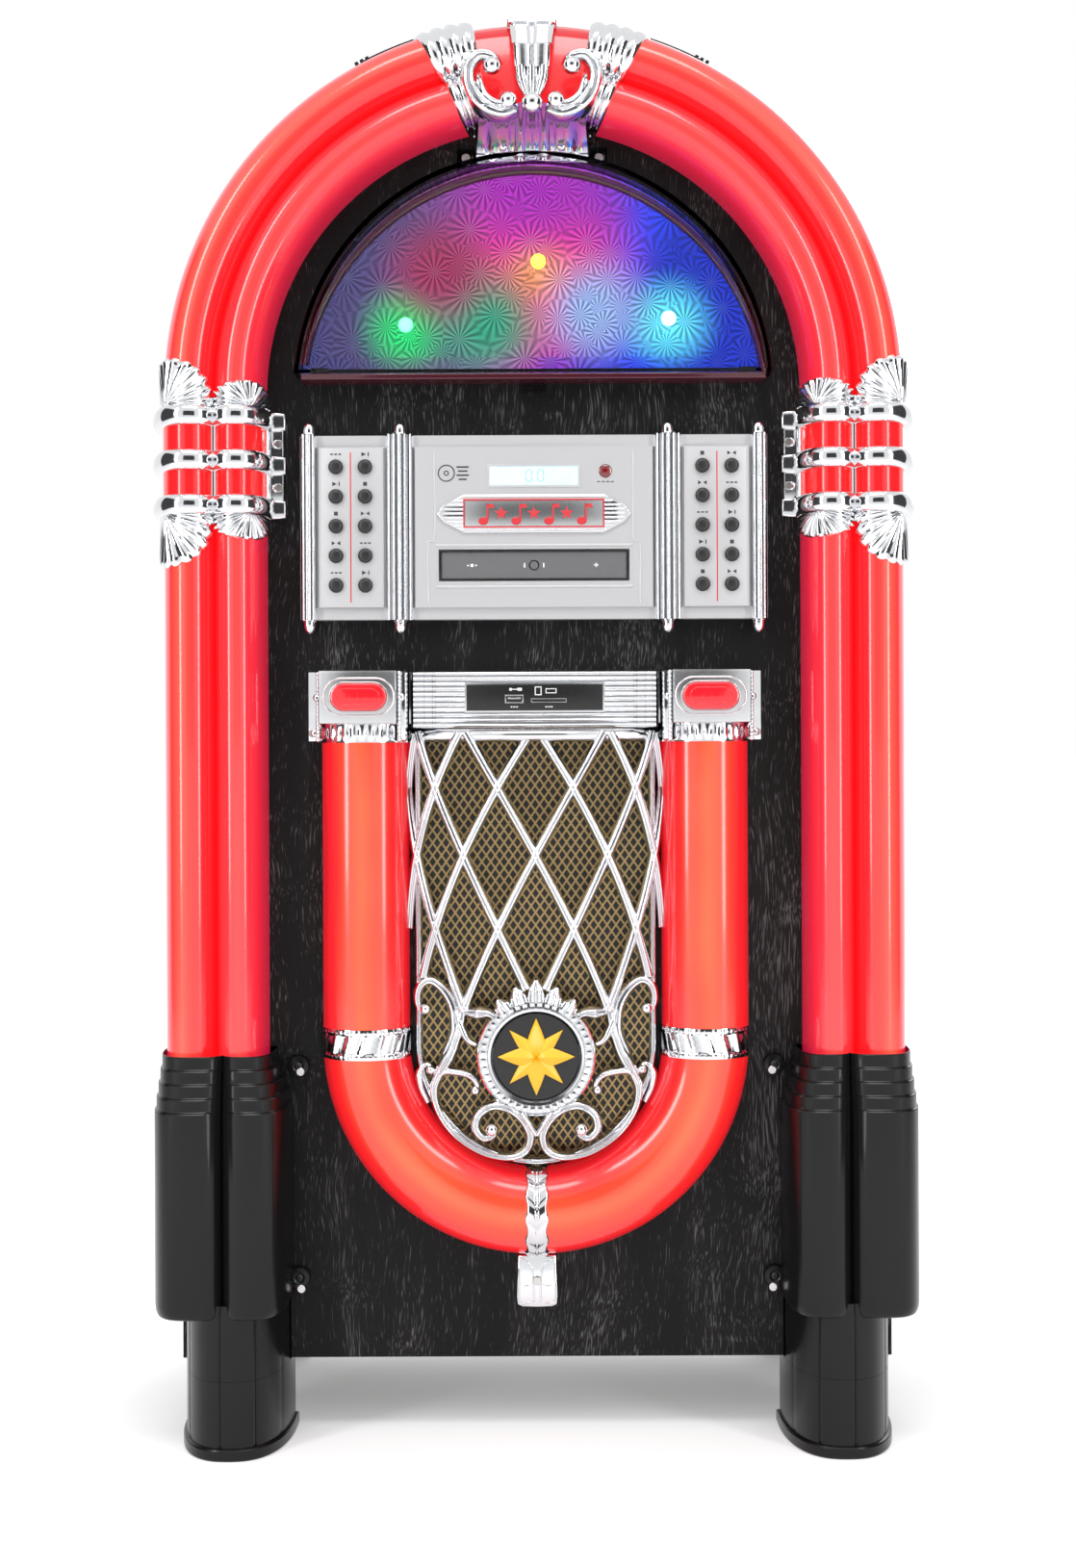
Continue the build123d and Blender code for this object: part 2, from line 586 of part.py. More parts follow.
with BuildPart() as lens_bands:
    with BuildSketch(plan(TUBE_BEND_CENTRE + BAND_STRAIGHT)):
        add(BAND_SECTION)
    extrude(amount=BAND_STRAIGHT)
    with BuildSketch(plan(TUBE_BEND_CENTRE)):
        add(BAND_SECTION)
    revolve(axis=TUBE_AXIS, revolution_arc=BAND_ANGLE)
    mirror(about=Plane.YZ)
save(lens_bands, "lens_bands")

CLASP_GAP = 0.6
HOUSING_FLARE = 4.0         # each side, at the face of the cabinet
HOUSING_SLOPE = 85          # degrees
CLASP_OUTER = TUBE_RADIUS + CLASP_PROUD

with BuildPart() as lens_clasp:
    with BuildSketch(side(CLASP_WIDTH / 2)):
        with Locations((0, TUBE_BEND_CENTRE - TUBE_CENTRE_RADIUS)):
            Circle(CLASP_OUTER)
            Circle(TUBE_RADIUS + CLASP_GAP, mode=Mode.SUBTRACT)
            Rectangle(2 * CLASP_OUTER, 3 * CLASP_OUTER, align=(Align.MIN, Align.CENTER),
                      mode=Mode.INTERSECT)
    extrude(amount=CLASP_WIDTH)
    with BuildSketch(front(0)):
        with Locations((0, TUBE_BEND_CENTRE - TUBE_OUTER - CLASP_GAP)):
            Rectangle(CLASP_TAIL_WIDTH, CLASP_TAIL_HEIGHT, align=(Align.CENTER, Align.MAX))
        with Locations(TAIL_SPOT):
            Circle(SCREW_HOLE, mode=Mode.SUBTRACT)
    extrude(amount=CLASP_TAIL_THICKNESS)
save(lens_clasp, "lens_clasp")

# ---------------------------------------------------------------------------- switches and media strip
FACE_BOX_HEIGHT = HOUSING_HEIGHT - COLLAR_HEIGHT
FACE_BOX_MIDDLE = HOUSING_TOP - FACE_BOX_HEIGHT / 2
RECESS_MARGIN = 8.0         # recess round the switch
RECESS_DEPTH = 1.2
SWITCH_FLANGE = 1.6
SWITCH_FLANGE_THICKNESS = 2.0
HOUSING_INSIDE = HOUSING_PROUD - HOUSING_WALL

with BuildPart() as switch_housing_right:
    with BuildSketch(front(0)):
        with Locations((FLANGE_X, HOUSING_BASE)):
            Rectangle(HOUSING_FLANGE_WIDTH, HOUSING_HEIGHT, align=(Align.CENTER, Align.MIN))
        with Locations(HOUSING_SPOTS[0]):
            Circle(SCREW_HOLE, mode=Mode.SUBTRACT)
    extrude(amount=FLANGE_THICKNESS)
    with BuildSketch(plan(HOUSING_TOP)):
        with Locations((HOUSING_X, 0)):
            Trapezoid(HOUSING_FACE_WIDTH + 2 * HOUSING_FLARE, HOUSING_PROUD, HOUSING_SLOPE,
                      align=(Align.CENTER, Align.MIN))
    extrude(amount=FACE_BOX_HEIGHT)
    with BuildSketch(plan(HOUSING_BASE + COLLAR_HEIGHT)):
        add(hoop(TUBE_RADIUS, TUBE_RADIUS + COLLAR_WALL, TUBE_CENTRE_RADIUS))
    extrude(amount=COLLAR_HEIGHT)
    with BuildSketch(plan(HOUSING_BASE + COLLAR_HEIGHT)):
        with Locations((TUBE_CENTRE_RADIUS, 0)):
            Circle(TUBE_RADIUS + FIT)
    extrude(amount=COLLAR_HEIGHT, mode=Mode.SUBTRACT)
    with BuildSketch(front(0)):
        with Locations((HOUSING_X, FACE_BOX_MIDDLE)):
            Rectangle(HOUSING_FACE_WIDTH - 2 * HOUSING_WALL, FACE_BOX_HEIGHT - 2 * HOUSING_WALL)
    extrude(amount=HOUSING_INSIDE, mode=Mode.SUBTRACT)
    with BuildSketch(front(HOUSING_INSIDE)):
        with Locations((HOUSING_X, SWITCH_Z)):
            SlotOverall(SWITCH_WIDTH + 2 * SWITCH_GAP, SWITCH_HEIGHT + 2 * SWITCH_GAP)
    extrude(amount=HOUSING_WALL, mode=Mode.SUBTRACT)
    with BuildSketch(front(HOUSING_PROUD - RECESS_DEPTH)):
        with Locations((HOUSING_X, SWITCH_Z)):
            SlotOverall(SWITCH_WIDTH + RECESS_MARGIN, SWITCH_HEIGHT + RECESS_MARGIN)
    extrude(amount=RECESS_DEPTH, mode=Mode.SUBTRACT)
save(switch_housing_right, "switch_housing_right")

with BuildPart() as switch_housing_left:
    mirror(switch_housing_right.part, about=Plane.YZ)
save(switch_housing_left, "switch_housing_left")

SWITCH_BACK = HOUSING_INSIDE - FIT - SWITCH_FLANGE_THICKNESS

with BuildPart() as switch_right:
    with BuildSketch(front(SWITCH_BACK)):
        with Locations((HOUSING_X, SWITCH_Z)):
            SlotOverall(SWITCH_WIDTH, SWITCH_HEIGHT)
    extrude(amount=HOUSING_PROUD + SWITCH_PROUD - SWITCH_BACK)
    fillet(switch_right.faces().sort_by(Axis.Y)[0].edges(), radius=2.0)
    with BuildSketch(front(SWITCH_BACK)):
        with Locations((HOUSING_X, SWITCH_Z)):
            SlotOverall(SWITCH_WIDTH + 2 * SWITCH_FLANGE, SWITCH_HEIGHT + 2 * SWITCH_FLANGE)
    extrude(amount=SWITCH_FLANGE_THICKNESS)
save(switch_right, "switch_right")

with BuildPart() as switch_left:
    mirror(switch_right.part, about=Plane.YZ)
save(switch_left, "switch_left")

RIB_RADIUS = STRIP_HEIGHT / STRIP_RIBS / 2 - 0.4
LABEL_WIDTH = 101.0
LABEL_HEIGHT = 20.0
LABEL_SINK = 1.0            # label's face behind the ribs' base
SOCKET_BLOCK_DEPTH = 30.0

with BuildPart() as media_strip:
    with BuildSketch(side(STRIP_HALF)):
        with Locations((0, STRIP_MIDDLE)):
            Rectangle(STRIP_PROUD - RIB_RADIUS, STRIP_HEIGHT, align=(Align.MIN, Align.CENTER))
        with Locations((STRIP_PROUD - RIB_RADIUS, STRIP_MIDDLE)):
            with GridLocations(0, STRIP_HEIGHT / STRIP_RIBS, 1, STRIP_RIBS):
                Circle(RIB_RADIUS)
    extrude(amount=2 * STRIP_HALF)
    with BuildSketch(front(STRIP_PROUD - RIB_RADIUS - LABEL_SINK)):
        with Locations((0, STRIP_MIDDLE)):
            Rectangle(LABEL_WIDTH, LABEL_HEIGHT)
    extrude(amount=RIB_RADIUS + LABEL_SINK, mode=Mode.SUBTRACT)
    with BuildSketch(front(0)):
        with Locations((0, STRIP_MIDDLE)):
            Rectangle(SOCKET_BLOCK_WIDTH, SOCKET_BLOCK_HEIGHT)
    extrude(amount=-SOCKET_BLOCK_DEPTH)
    with BuildSketch(front(STRIP_PROUD - SOCKET_DEPTH)):
        with Locations((USB_X, STRIP_MIDDLE)):
            Rectangle(USB_WIDTH, USB_HEIGHT)
        with Locations((CARD_SLOT_X, STRIP_MIDDLE)):
            Rectangle(CARD_SLOT_WIDTH, CARD_SLOT_HEIGHT)
    extrude(amount=SOCKET_DEPTH, mode=Mode.SUBTRACT)
save(media_strip, "media_strip")

# ---------------------------------------------------------------------------- control panel
WING_MIDDLE = (WING_INNER + WING_OUTER) / 2
WING_WIDTH = WING_OUTER - WING_INNER
PLATE_HEIGHT = PANEL_HEIGHT - 2 * PLATE_MARGIN
WINDOW_GAP = 0.2            # round the display and sensor windows
BUTTON_TOP = PANEL_MIDDLE + BUTTON_PITCH * (BUTTON_ROWS - 1) / 2 + BUTTON_RAISE
BUTTON_SPOTS = [(x, BUTTON_TOP - row * BUTTON_PITCH) for x in BUTTON_COLUMNS
                for row in range(BUTTON_ROWS)]
LCD_SPOT = (0, PANEL_MIDDLE + LCD_RISE)
SENSOR_SPOT = (SENSOR_X, PANEL_MIDDLE + SENSOR_RISE)

with BuildPart() as control_fascia:
    with BuildSketch(front(0)):
        with Locations((0, PANEL_MIDDLE)):
            Rectangle(2 * PANEL_HALF_WIDTH, PANEL_HEIGHT)
    extrude(amount=PANEL_PROUD)
    with BuildSketch(front(PANEL_PROUD)):
        with Locations((0, PANEL_MIDDLE)):
            Rectangle(CENTRE_PLATE_WIDTH, PLATE_HEIGHT)
        with Locations((WING_MIDDLE, PANEL_MIDDLE), (-WING_MIDDLE, PANEL_MIDDLE)):
            Rectangle(WING_WIDTH, PLATE_HEIGHT)
    extrude(amount=PLATE_PROUD)
    with BuildSketch(front(0)):
        with Locations((0, PANEL_MIDDLE)):
            Rectangle(2 * (PANEL_HALF_WIDTH - PANEL_SKIN), PANEL_HEIGHT - 2 * PANEL_SKIN)
    extrude(amount=PANEL_PROUD - PANEL_SKIN, mode=Mode.SUBTRACT)
    with BuildSketch(front(PANEL_PROUD - PANEL_SKIN)):
        with Locations((WING_MIDDLE, PANEL_MIDDLE), (-WING_MIDDLE, PANEL_MIDDLE)):
            Rectangle(WING_WIDTH - 2 * PANEL_SKIN, PLATE_HEIGHT - 2 * PANEL_SKIN)
    extrude(amount=PANEL_SKIN, mode=Mode.SUBTRACT)
    with BuildSketch(front(0)):
        with Locations((0, TRAY_MIDDLE)):
            Rectangle(TRAY_WIDTH + 2 * TRAY_GAP, TRAY_HEIGHT + 2 * TRAY_GAP)
        with Locations(LCD_SPOT):
            Rectangle(LCD_WIDTH + 2 * WINDOW_GAP, LCD_HEIGHT + 2 * WINDOW_GAP)
        with Locations(SENSOR_SPOT):
            Circle(SENSOR_DIAMETER / 2 + WINDOW_GAP)
        with Locations(*both(*BUTTON_SPOTS)):
            Circle(BUTTON_DIAMETER / 2 + BUTTON_GAP)
    extrude(amount=PLATE_FRONT, mode=Mode.SUBTRACT)
save(control_fascia, "control_fascia")

BUTTON_FLANGE_BACK = PANEL_PROUD - FIT - BUTTON_FLANGE
BUTTON_ROUND = 1.2

for column, (sign, x) in enumerate((sign, x) for sign in (-1, 1) for x in BUTTON_COLUMNS[::sign]):
    for row in range(BUTTON_ROWS):
        with BuildPart() as button:
            with BuildSketch(front(BUTTON_FLANGE_BACK)):
                with Locations((sign * x, BUTTON_TOP - row * BUTTON_PITCH)):
                    Circle(BUTTON_DIAMETER / 2)
            extrude(amount=PLATE_FRONT + BUTTON_PROUD - BUTTON_FLANGE_BACK)
            fillet(button.faces().sort_by(Axis.Y)[0].edges(), radius=BUTTON_ROUND)
            with BuildSketch(front(BUTTON_FLANGE_BACK)):
                with Locations((sign * x, BUTTON_TOP - row * BUTTON_PITCH)):
                    Circle(BUTTON_DIAMETER / 2 + BUTTON_FLANGE)
            extrude(amount=BUTTON_FLANGE)
        save(button, f"button_{'abcd'[column]}{row + 1}")

PILLAR_RIBS = {INNER_PILLAR_X: (INNER_PILLAR_WIDTH, 5), OUTER_PILLAR_X: (OUTER_PILLAR_WIDTH, 3)}
PANEL_TOP = PANEL_BASE + PANEL_HEIGHT
KNOB_RADIUS = 4.0

with BuildPart() as fascia_pillars:
    for x, (width, ribs) in PILLAR_RIBS.items():
        rib_radius = width / ribs / 2
        with BuildSketch(plan(PANEL_TOP)):
            with Locations((x, PANEL_PROUD)):
                Rectangle(width, PILLAR_PROUD - rib_radius, align=(Align.CENTER, Align.MIN))
            with Locations((x, PANEL_PROUD + PILLAR_PROUD - rib_radius)):
                with GridLocations(width / ribs, 0, ribs, 1):
                    Circle(rib_radius)
        extrude(amount=PANEL_HEIGHT)
        with BuildSketch(plan(PANEL_TOP + PILLAR_KNOB)):
            with Locations((x, PANEL_PROUD + PILLAR_PROUD / 2)):
                Circle(KNOB_RADIUS)
        extrude(amount=PANEL_HEIGHT + 2 * PILLAR_KNOB)
    mirror(about=Plane.YZ)
save(fascia_pillars, "fascia_pillars")

WINDOW_FLANGE = 2.0
WINDOW_SINK = 0.6
PANEL_INSIDE = PANEL_PROUD - PANEL_SKIN

with BuildPart() as panel_windows:
    with BuildSketch(front(PANEL_INSIDE)):
        with Locations(LCD_SPOT):
            Rectangle(LCD_WIDTH, LCD_HEIGHT)
        with Locations(SENSOR_SPOT):
            Circle(SENSOR_DIAMETER / 2)
    extrude(amount=PLATE_FRONT - PANEL_INSIDE - WINDOW_SINK)
    with BuildSketch(front(PANEL_INSIDE)):
        with Locations(LCD_SPOT):
            Rectangle(LCD_WIDTH + 2 * WINDOW_FLANGE, LCD_HEIGHT + 2 * WINDOW_FLANGE)
        with Locations(SENSOR_SPOT):
            Circle(SENSOR_DIAMETER / 2 + WINDOW_FLANGE)
    extrude(amount=-WINDOW_FLANGE)
save(panel_windows, "panel_windows")

NAMEPLATE_THICKNESS = 2.5
NAMEPLATE_END = 14.0        # length of each tapered end
NAMEPLATE_SPOT = (0, PANEL_MIDDLE + NAMEPLATE_RISE)

with BuildPart() as nameplate:
    with BuildSketch(front(PLATE_FRONT)):
        with Locations(NAMEPLATE_SPOT):
            Rectangle(NAMEPLATE_WIDTH - 2 * NAMEPLATE_END, NAMEPLATE_HEIGHT)
            Rectangle(NAMEPLATE_WIDTH, NAMEPLATE_HEIGHT / 2)
        make_hull()
    extrude(amount=NAMEPLATE_THICKNESS)
save(nameplate, "nameplate")

DRIVE_HALF_WIDTH = 74.0
DRIVE_BELOW = 15.0          # casing under and over the tray's middle
DRIVE_ABOVE = 28.0
DRIVE_LENGTH = 175.0
DECK_HALF_WIDTH = 64.0
DECK_THICKNESS = 8.0
DISC_RECESS = 2.0
TRAY_FRONT_THICKNESS = 4.0
TRAY_BACK = PANEL_INSIDE + 0.5      # back of the tray's front plate

with BuildPart() as disc_drive:
    with BuildSketch(front(PANEL_INSIDE)):
        with Locations((0, TRAY_MIDDLE - DRIVE_BELOW)):
            Rectangle(2 * DRIVE_HALF_WIDTH, DRIVE_BELOW + DRIVE_ABOVE, align=(Align.CENTER, Align.MIN))
    extrude(amount=-DRIVE_LENGTH)
    with BuildSketch(front(PANEL_INSIDE)):
        with Locations((0, TRAY_MIDDLE)):
            Rectangle(2 * (DECK_HALF_WIDTH + TRAY_GAP), DECK_THICKNESS + 2 * TRAY_GAP)
    extrude(amount=-TRAY_LENGTH - 2 * TRAY_GAP, mode=Mode.SUBTRACT)
save(disc_drive, "disc_drive")

with BuildPart() as disc_tray:
    with BuildSketch(front(TRAY_BACK)):
        with Locations((0, TRAY_MIDDLE)):
            Rectangle(TRAY_WIDTH, TRAY_HEIGHT)
    extrude(amount=TRAY_FRONT_THICKNESS)
    with BuildSketch(front(TRAY_BACK)):
        with Locations((0, TRAY_MIDDLE)):
            Rectangle(2 * DECK_HALF_WIDTH, DECK_THICKNESS)
    extrude(amount=-TRAY_LENGTH)
    with BuildSketch(plan(TRAY_MIDDLE + DECK_THICKNESS / 2)):
        with Locations((0, TRAY_BACK - DISC_DIAMETER / 2 - 4.0)):
            Circle(DISC_DIAMETER / 2 + 1.0)
    extrude(amount=DISC_RECESS, mode=Mode.SUBTRACT)
save(disc_tray, "disc_tray")

# ---------------------------------------------------------------------------- display window
TAB_WIDTH = 13.0
TAB_HEIGHT = 18.0
SILL_TAB_WIDTH = 21.0
SILL_TAB_HEIGHT = 5.0
LAMP_RADIUS = 8.0
LAMP_SPOTS = ((4.0, 95.0), (-93.0, 49.0), (99.0, 53.0))     # x and height above the hood's centre
SHELF_HALF_WIDTH = 150.0
SHELF_THICKNESS = 8.0
BACKDROP_THICKNESS = 1.5

with BuildPart() as display_hood:
    with BuildSketch(front(0)):
        add(window_outline())
    extrude(amount=HOOD_PROUD)
    with BuildSketch(front(0)):
        with Locations(*HOOD_SPOTS):
            Rectangle(TAB_WIDTH, TAB_HEIGHT)
            Circle(SCREW_HOLE, mode=Mode.SUBTRACT)
        with Locations((0, HOOD_BASE)):
            Rectangle(SILL_TAB_WIDTH, SILL_TAB_HEIGHT, align=(Align.CENTER, Align.MAX))
    extrude(amount=HOOD_WALL)
    with BuildSketch(front(0)):
        add(window_outline(HOOD_WALL))
    extrude(amount=HOOD_PROUD - HOOD_WALL, mode=Mode.SUBTRACT)
save(display_hood, "display_hood")

with BuildPart() as display_backdrop:
    with BuildSketch(front(0)):
        add(window_outline(HOOD_WALL + SLIP))
    extrude(amount=BACKDROP_THICKNESS)
    with BuildSketch(front(BACKDROP_THICKNESS)):
        with Locations(*[(x, HOOD_CENTRE + rise) for x, rise in LAMP_SPOTS]):
            Circle(LAMP_RADIUS)
    extrude(amount=LAMP_RADIUS)
    with BuildSketch(front(BACKDROP_THICKNESS)):
        with Locations((0, HOOD_BASE + HOOD_WALL + SLIP)):
            Rectangle(2 * SHELF_HALF_WIDTH, SHELF_THICKNESS, align=(Align.CENTER, Align.MIN))
    extrude(amount=HOOD_PROUD - HOOD_WALL - BACKDROP_THICKNESS - SLIP)
save(display_backdrop, "display_backdrop")

# ---------------------------------------------------------------------------- grille and medallion
NODE_TOP = 478.0            # height of the first row of crossings
ROW_PITCH = 46.9
ROW_STRETCH = 2.3           # rows open out towards the bottom
NODE_TURN = 0.3             # radians round the bulge between crossings
LATTICE_ROWS = 4
LATTICE_COLUMNS = 5
MESH_THICKNESS = 1.2
MEDALLION_MIDDLE = TUBE_BEND_CENTRE - 8.0
MEDALLION_BACK = 27.0
MEDALLION_RING_DEPTH = 8.0
MEDALLION_POST = 14.0
SCROLLS = ((63.0, 22.0, 23.0), (36.0, -57.0, 19.0))     # x, height above the bend's centre, radius
SCROLL_WIDTH = 6.0


def crossing(turn, row):
    """Where two bars cross: turns round the bulge from the middle, rows down from the top."""
    across = (GRILLE_HALF + BAR_DEPTH) * sin(NODE_TURN * turn)
    return across, NODE_TOP - ROW_PITCH * row - ROW_STRETCH * row ** 2


def bar(start, end):
    """Straight bar of the lattice between two crossings, with square ends."""
    axis = Edge.make_line(start, end)
    edge = (axis % 0).rotate(Axis.Z, 90) * BAR_WIDTH / 2
    with BuildSketch() as outline:
        with BuildLine():
            Polyline((axis @ 0) + edge, (axis @ 1) + edge, (axis @ 1) - edge, (axis @ 0) - edge,
                     close=True)
        make_face()
    return outline.sketch


def bulge(thickness):
    """Plan outline of the bowed grille, in flats as wide as one diamond."""
    turns = [NODE_TURN * turn for turn in range(-LATTICE_COLUMNS, LATTICE_COLUMNS + 1)]
    arch = [((GRILLE_HALF + BAR_DEPTH) * sin(turn), GRILLE_BULGE * cos(turn) + thickness)
            for turn in turns]
    foot = GRILLE_HALF + 2 * BAR_DEPTH
    with BuildSketch() as outline:
        with BuildLine():
            Polyline((-foot, -1.0), (-foot, arch[0][1]), *arch, (foot, arch[-1][1]), (foot, -1.0),
                     close=True)
        make_face()
    return outline.sketch


with BuildPart() as grille_lattice:
    with BuildSketch(front(0)):
        for row in range(-1, LATTICE_ROWS - 1):
            for turn in range(-LATTICE_COLUMNS, LATTICE_COLUMNS + 1):
                if (turn + row) % 2:
                    add(bar(crossing(turn, row), crossing(turn + 1, row + 1)))
                    add(bar(crossing(turn, row), crossing(turn - 1, row + 1)))
        for x, rise, radius in SCROLLS:
            with Locations((x, TUBE_BEND_CENTRE + rise), (-x, TUBE_BEND_CENTRE + rise)):
                Circle(radius)
                Circle(radius - SCROLL_WIDTH, mode=Mode.SUBTRACT)
        add(u_outline(GRILLE_HALF - GRILLE_EDGE / 2, HOUSING_BASE), mode=Mode.INTERSECT)
    extrude(amount=2 * GRILLE_BULGE)
    with BuildSketch(plan(HOUSING_BASE + 1.0)):
        add(bulge(0))
    extrude(amount=HOUSING_BASE, mode=Mode.SUBTRACT)
    with BuildSketch(front(MESH_THICKNESS)):
        add(u_outline(GRILLE_HALF, HOUSING_BASE))
        add(u_outline(GRILLE_HALF - GRILLE_EDGE, HOUSING_BASE), mode=Mode.SUBTRACT)
    extrude(amount=2 * GRILLE_BULGE)
    with BuildSketch(plan(HOUSING_BASE + 1.0)):
        add(bulge(BAR_DEPTH))
    extrude(amount=HOUSING_BASE, mode=Mode.INTERSECT)
    with BuildSketch(plan(HOUSING_BASE + TOP_BAR_HEIGHT)):
        Ellipse(STRIP_HALF, GRILLE_BULGE + BAR_DEPTH)
        Rectangle(2 * STRIP_HALF, 2 * GRILLE_HALF, align=(Align.CENTER, Align.MIN), mode=Mode.INTERSECT)
    extrude(amount=TOP_BAR_HEIGHT)
    with BuildSketch(front(0)):
        with Locations((0, MEDALLION_MIDDLE)):
            Circle(MEDALLION_RADIUS + FIT)
    extrude(amount=2 * GRILLE_BULGE, mode=Mode.SUBTRACT)
save(grille_lattice, "grille_lattice")

with BuildPart() as grille_mesh:
    with BuildSketch(front(0)):
        add(u_outline(GRILLE_HALF, HOUSING_BASE))
    extrude(amount=MESH_THICKNESS)
save(grille_mesh, "grille_mesh")

STAR_WAIST = 0.36           # inner corners of the star as a share of its points
STAR_DEPTH = 4.0


def star(radius, turn=0.0):
    """Four-pointed star, turned by so many degrees."""
    with BuildSketch() as outline:
        with PolarLocations(0, 4, turn):
            Triangle(c=2 * radius * STAR_WAIST, a=radius, b=radius, align=(Align.CENTER, Align.MIN))
    return outline.sketch


with BuildPart() as medallion:
    with BuildSketch(front(MEDALLION_BACK)):
        with Locations((0, MEDALLION_MIDDLE)):
            Circle(MEDALLION_RADIUS)
    extrude(amount=MEDALLION_RING_DEPTH)
    with BuildSketch(front(MEDALLION_BACK + MEDALLION_RING_DEPTH / 2)):
        with Locations((0, MEDALLION_MIDDLE)):
            Circle(MEDALLION_DISC)
    extrude(amount=MEDALLION_RING_DEPTH / 2, mode=Mode.SUBTRACT)
    with BuildSketch(front(MEDALLION_BACK + MEDALLION_RING_DEPTH / 2)):
        with Locations((0, MEDALLION_MIDDLE)):
            add(star(STAR_RADIUS))
            add(star(STAR_RADIUS, 45.0))
    extrude(amount=STAR_DEPTH)
    with BuildSketch(front(MESH_THICKNESS)):
        with Locations((0, MEDALLION_MIDDLE)):
            Circle(MEDALLION_POST)
    extrude(amount=MEDALLION_BACK - MESH_THICKNESS)
save(medallion, "medallion")

# ---------------------------------------------------------------------------- speakers
SPEAKER_RADIUS = SPEAKER_DIAMETER / 2
RIM_THICKNESS = 4.0
RIM_WIDTH = 8.0
BASKET_DEPTH = 40.0
BASKET_WALL = 2.0
MAGNET_RADIUS = 38.0
MAGNET_DEPTH = 20.0
CONE_NECK = 13.0
CONE_DEPTH = 30.0
CONE_WALL = 1.2
RIM_FRONT = -BOARD
RIM_BACK = RIM_FRONT - RIM_THICKNESS
BASKET_BACK = RIM_FRONT - BASKET_DEPTH

with BuildPart() as speaker_baskets:
    for x, z in SPEAKER_SPOTS:
        with BuildSketch(plan(z)):
            with BuildLine():
                Polyline((SPEAKER_RADIUS - RIM_WIDTH, RIM_FRONT), (SPEAKER_RADIUS, RIM_FRONT),
                         (SPEAKER_RADIUS, RIM_BACK),
                         (SPEAKER_RADIUS - RIM_WIDTH + BASKET_WALL, RIM_BACK),
                         (MAGNET_RADIUS, BASKET_BACK), (MAGNET_RADIUS, BASKET_BACK - MAGNET_DEPTH),
                         (0, BASKET_BACK - MAGNET_DEPTH), (0, BASKET_BACK),
                         (MAGNET_RADIUS - 2 * BASKET_WALL, BASKET_BACK),
                         (SPEAKER_RADIUS - RIM_WIDTH, RIM_FRONT - RIM_THICKNESS / 2), close=True)
            make_face()
        revolve(axis=Axis((0, 0, z), (0, 1, 0)), revolution_arc=360)
save(speaker_baskets, "speaker_baskets")

CONE_EDGE = SPEAKER_RADIUS - RIM_WIDTH

with BuildPart() as speaker_cones:
    for x, z in SPEAKER_SPOTS:
        with BuildSketch(plan(z)):
            with BuildLine():
                Polyline((CONE_EDGE, RIM_FRONT), (CONE_EDGE, RIM_FRONT - CONE_WALL),
                         (CONE_NECK, RIM_FRONT - CONE_DEPTH), (CONE_NECK, BASKET_BACK),
                         (0, BASKET_BACK), (0, RIM_FRONT - CONE_DEPTH + CONE_WALL),
                         (CONE_NECK, RIM_FRONT - CONE_DEPTH + CONE_WALL),
                         (CONE_EDGE - CONE_WALL, RIM_FRONT), close=True)
            make_face()
        revolve(axis=Axis((0, 0, z), (0, 1, 0)), revolution_arc=360)
save(speaker_cones, "speaker_cones")

# ---------------------------------------------------------------------------- clamps
CLAMP_REACH = CLAMP_PITCH + CLAMP_BAND_HEIGHT / 2       # middle of the clamp to its end
CLAMP_BACK = LENS_BACK + 4.0
CLAMP_BAR = 12.0
CLAMP_BAR_PROUD = 6.0
FAN_GAP = 0.8
LENS_VALLEY = (LENS_INNER + LENS_OUTER) / 2
FAN_HEIGHT = min(FAN_RADIUS, ARCH_CENTRE + FAN_REACH_UP - CLAMP_MIDDLE - CLAMP_REACH)


def clamp_shell(inner_gap, thickness):
    """Plan outline of a strip bent round both lobes."""
    with BuildSketch() as outline:
        add(lobes(LENS_INNER, LENS_OUTER, LENS_CREST, CLAMP_BACK, grow=thickness))
        add(lobes(LENS_INNER, LENS_OUTER, LENS_CREST, CLAMP_BACK, grow=inner_gap), mode=Mode.SUBTRACT)
    return outline.sketch


with BuildPart() as clamp_fans:
    for base in (CLAMP_MIDDLE + CLAMP_REACH + FAN_HEIGHT, CLAMP_MIDDLE - CLAMP_REACH):
        with BuildSketch(plan(base)):
            add(clamp_shell(FAN_GAP, CLAMP_PLATE))
        extrude(amount=FAN_HEIGHT)
    with BuildSketch(front(-CLAMP_BACK)):
        for height in (CLAMP_MIDDLE + CLAMP_REACH, CLAMP_MIDDLE - CLAMP_REACH):
            with Locations((LENS_INNER + LENS_BAND / 4, height)):
                Circle(FAN_HEIGHT * INNER_FAN)
            with Locations((LENS_OUTER - LENS_BAND / 4, height)):
                Circle(FAN_HEIGHT)
    extrude(amount=3 * LENS_CREST, mode=Mode.INTERSECT)

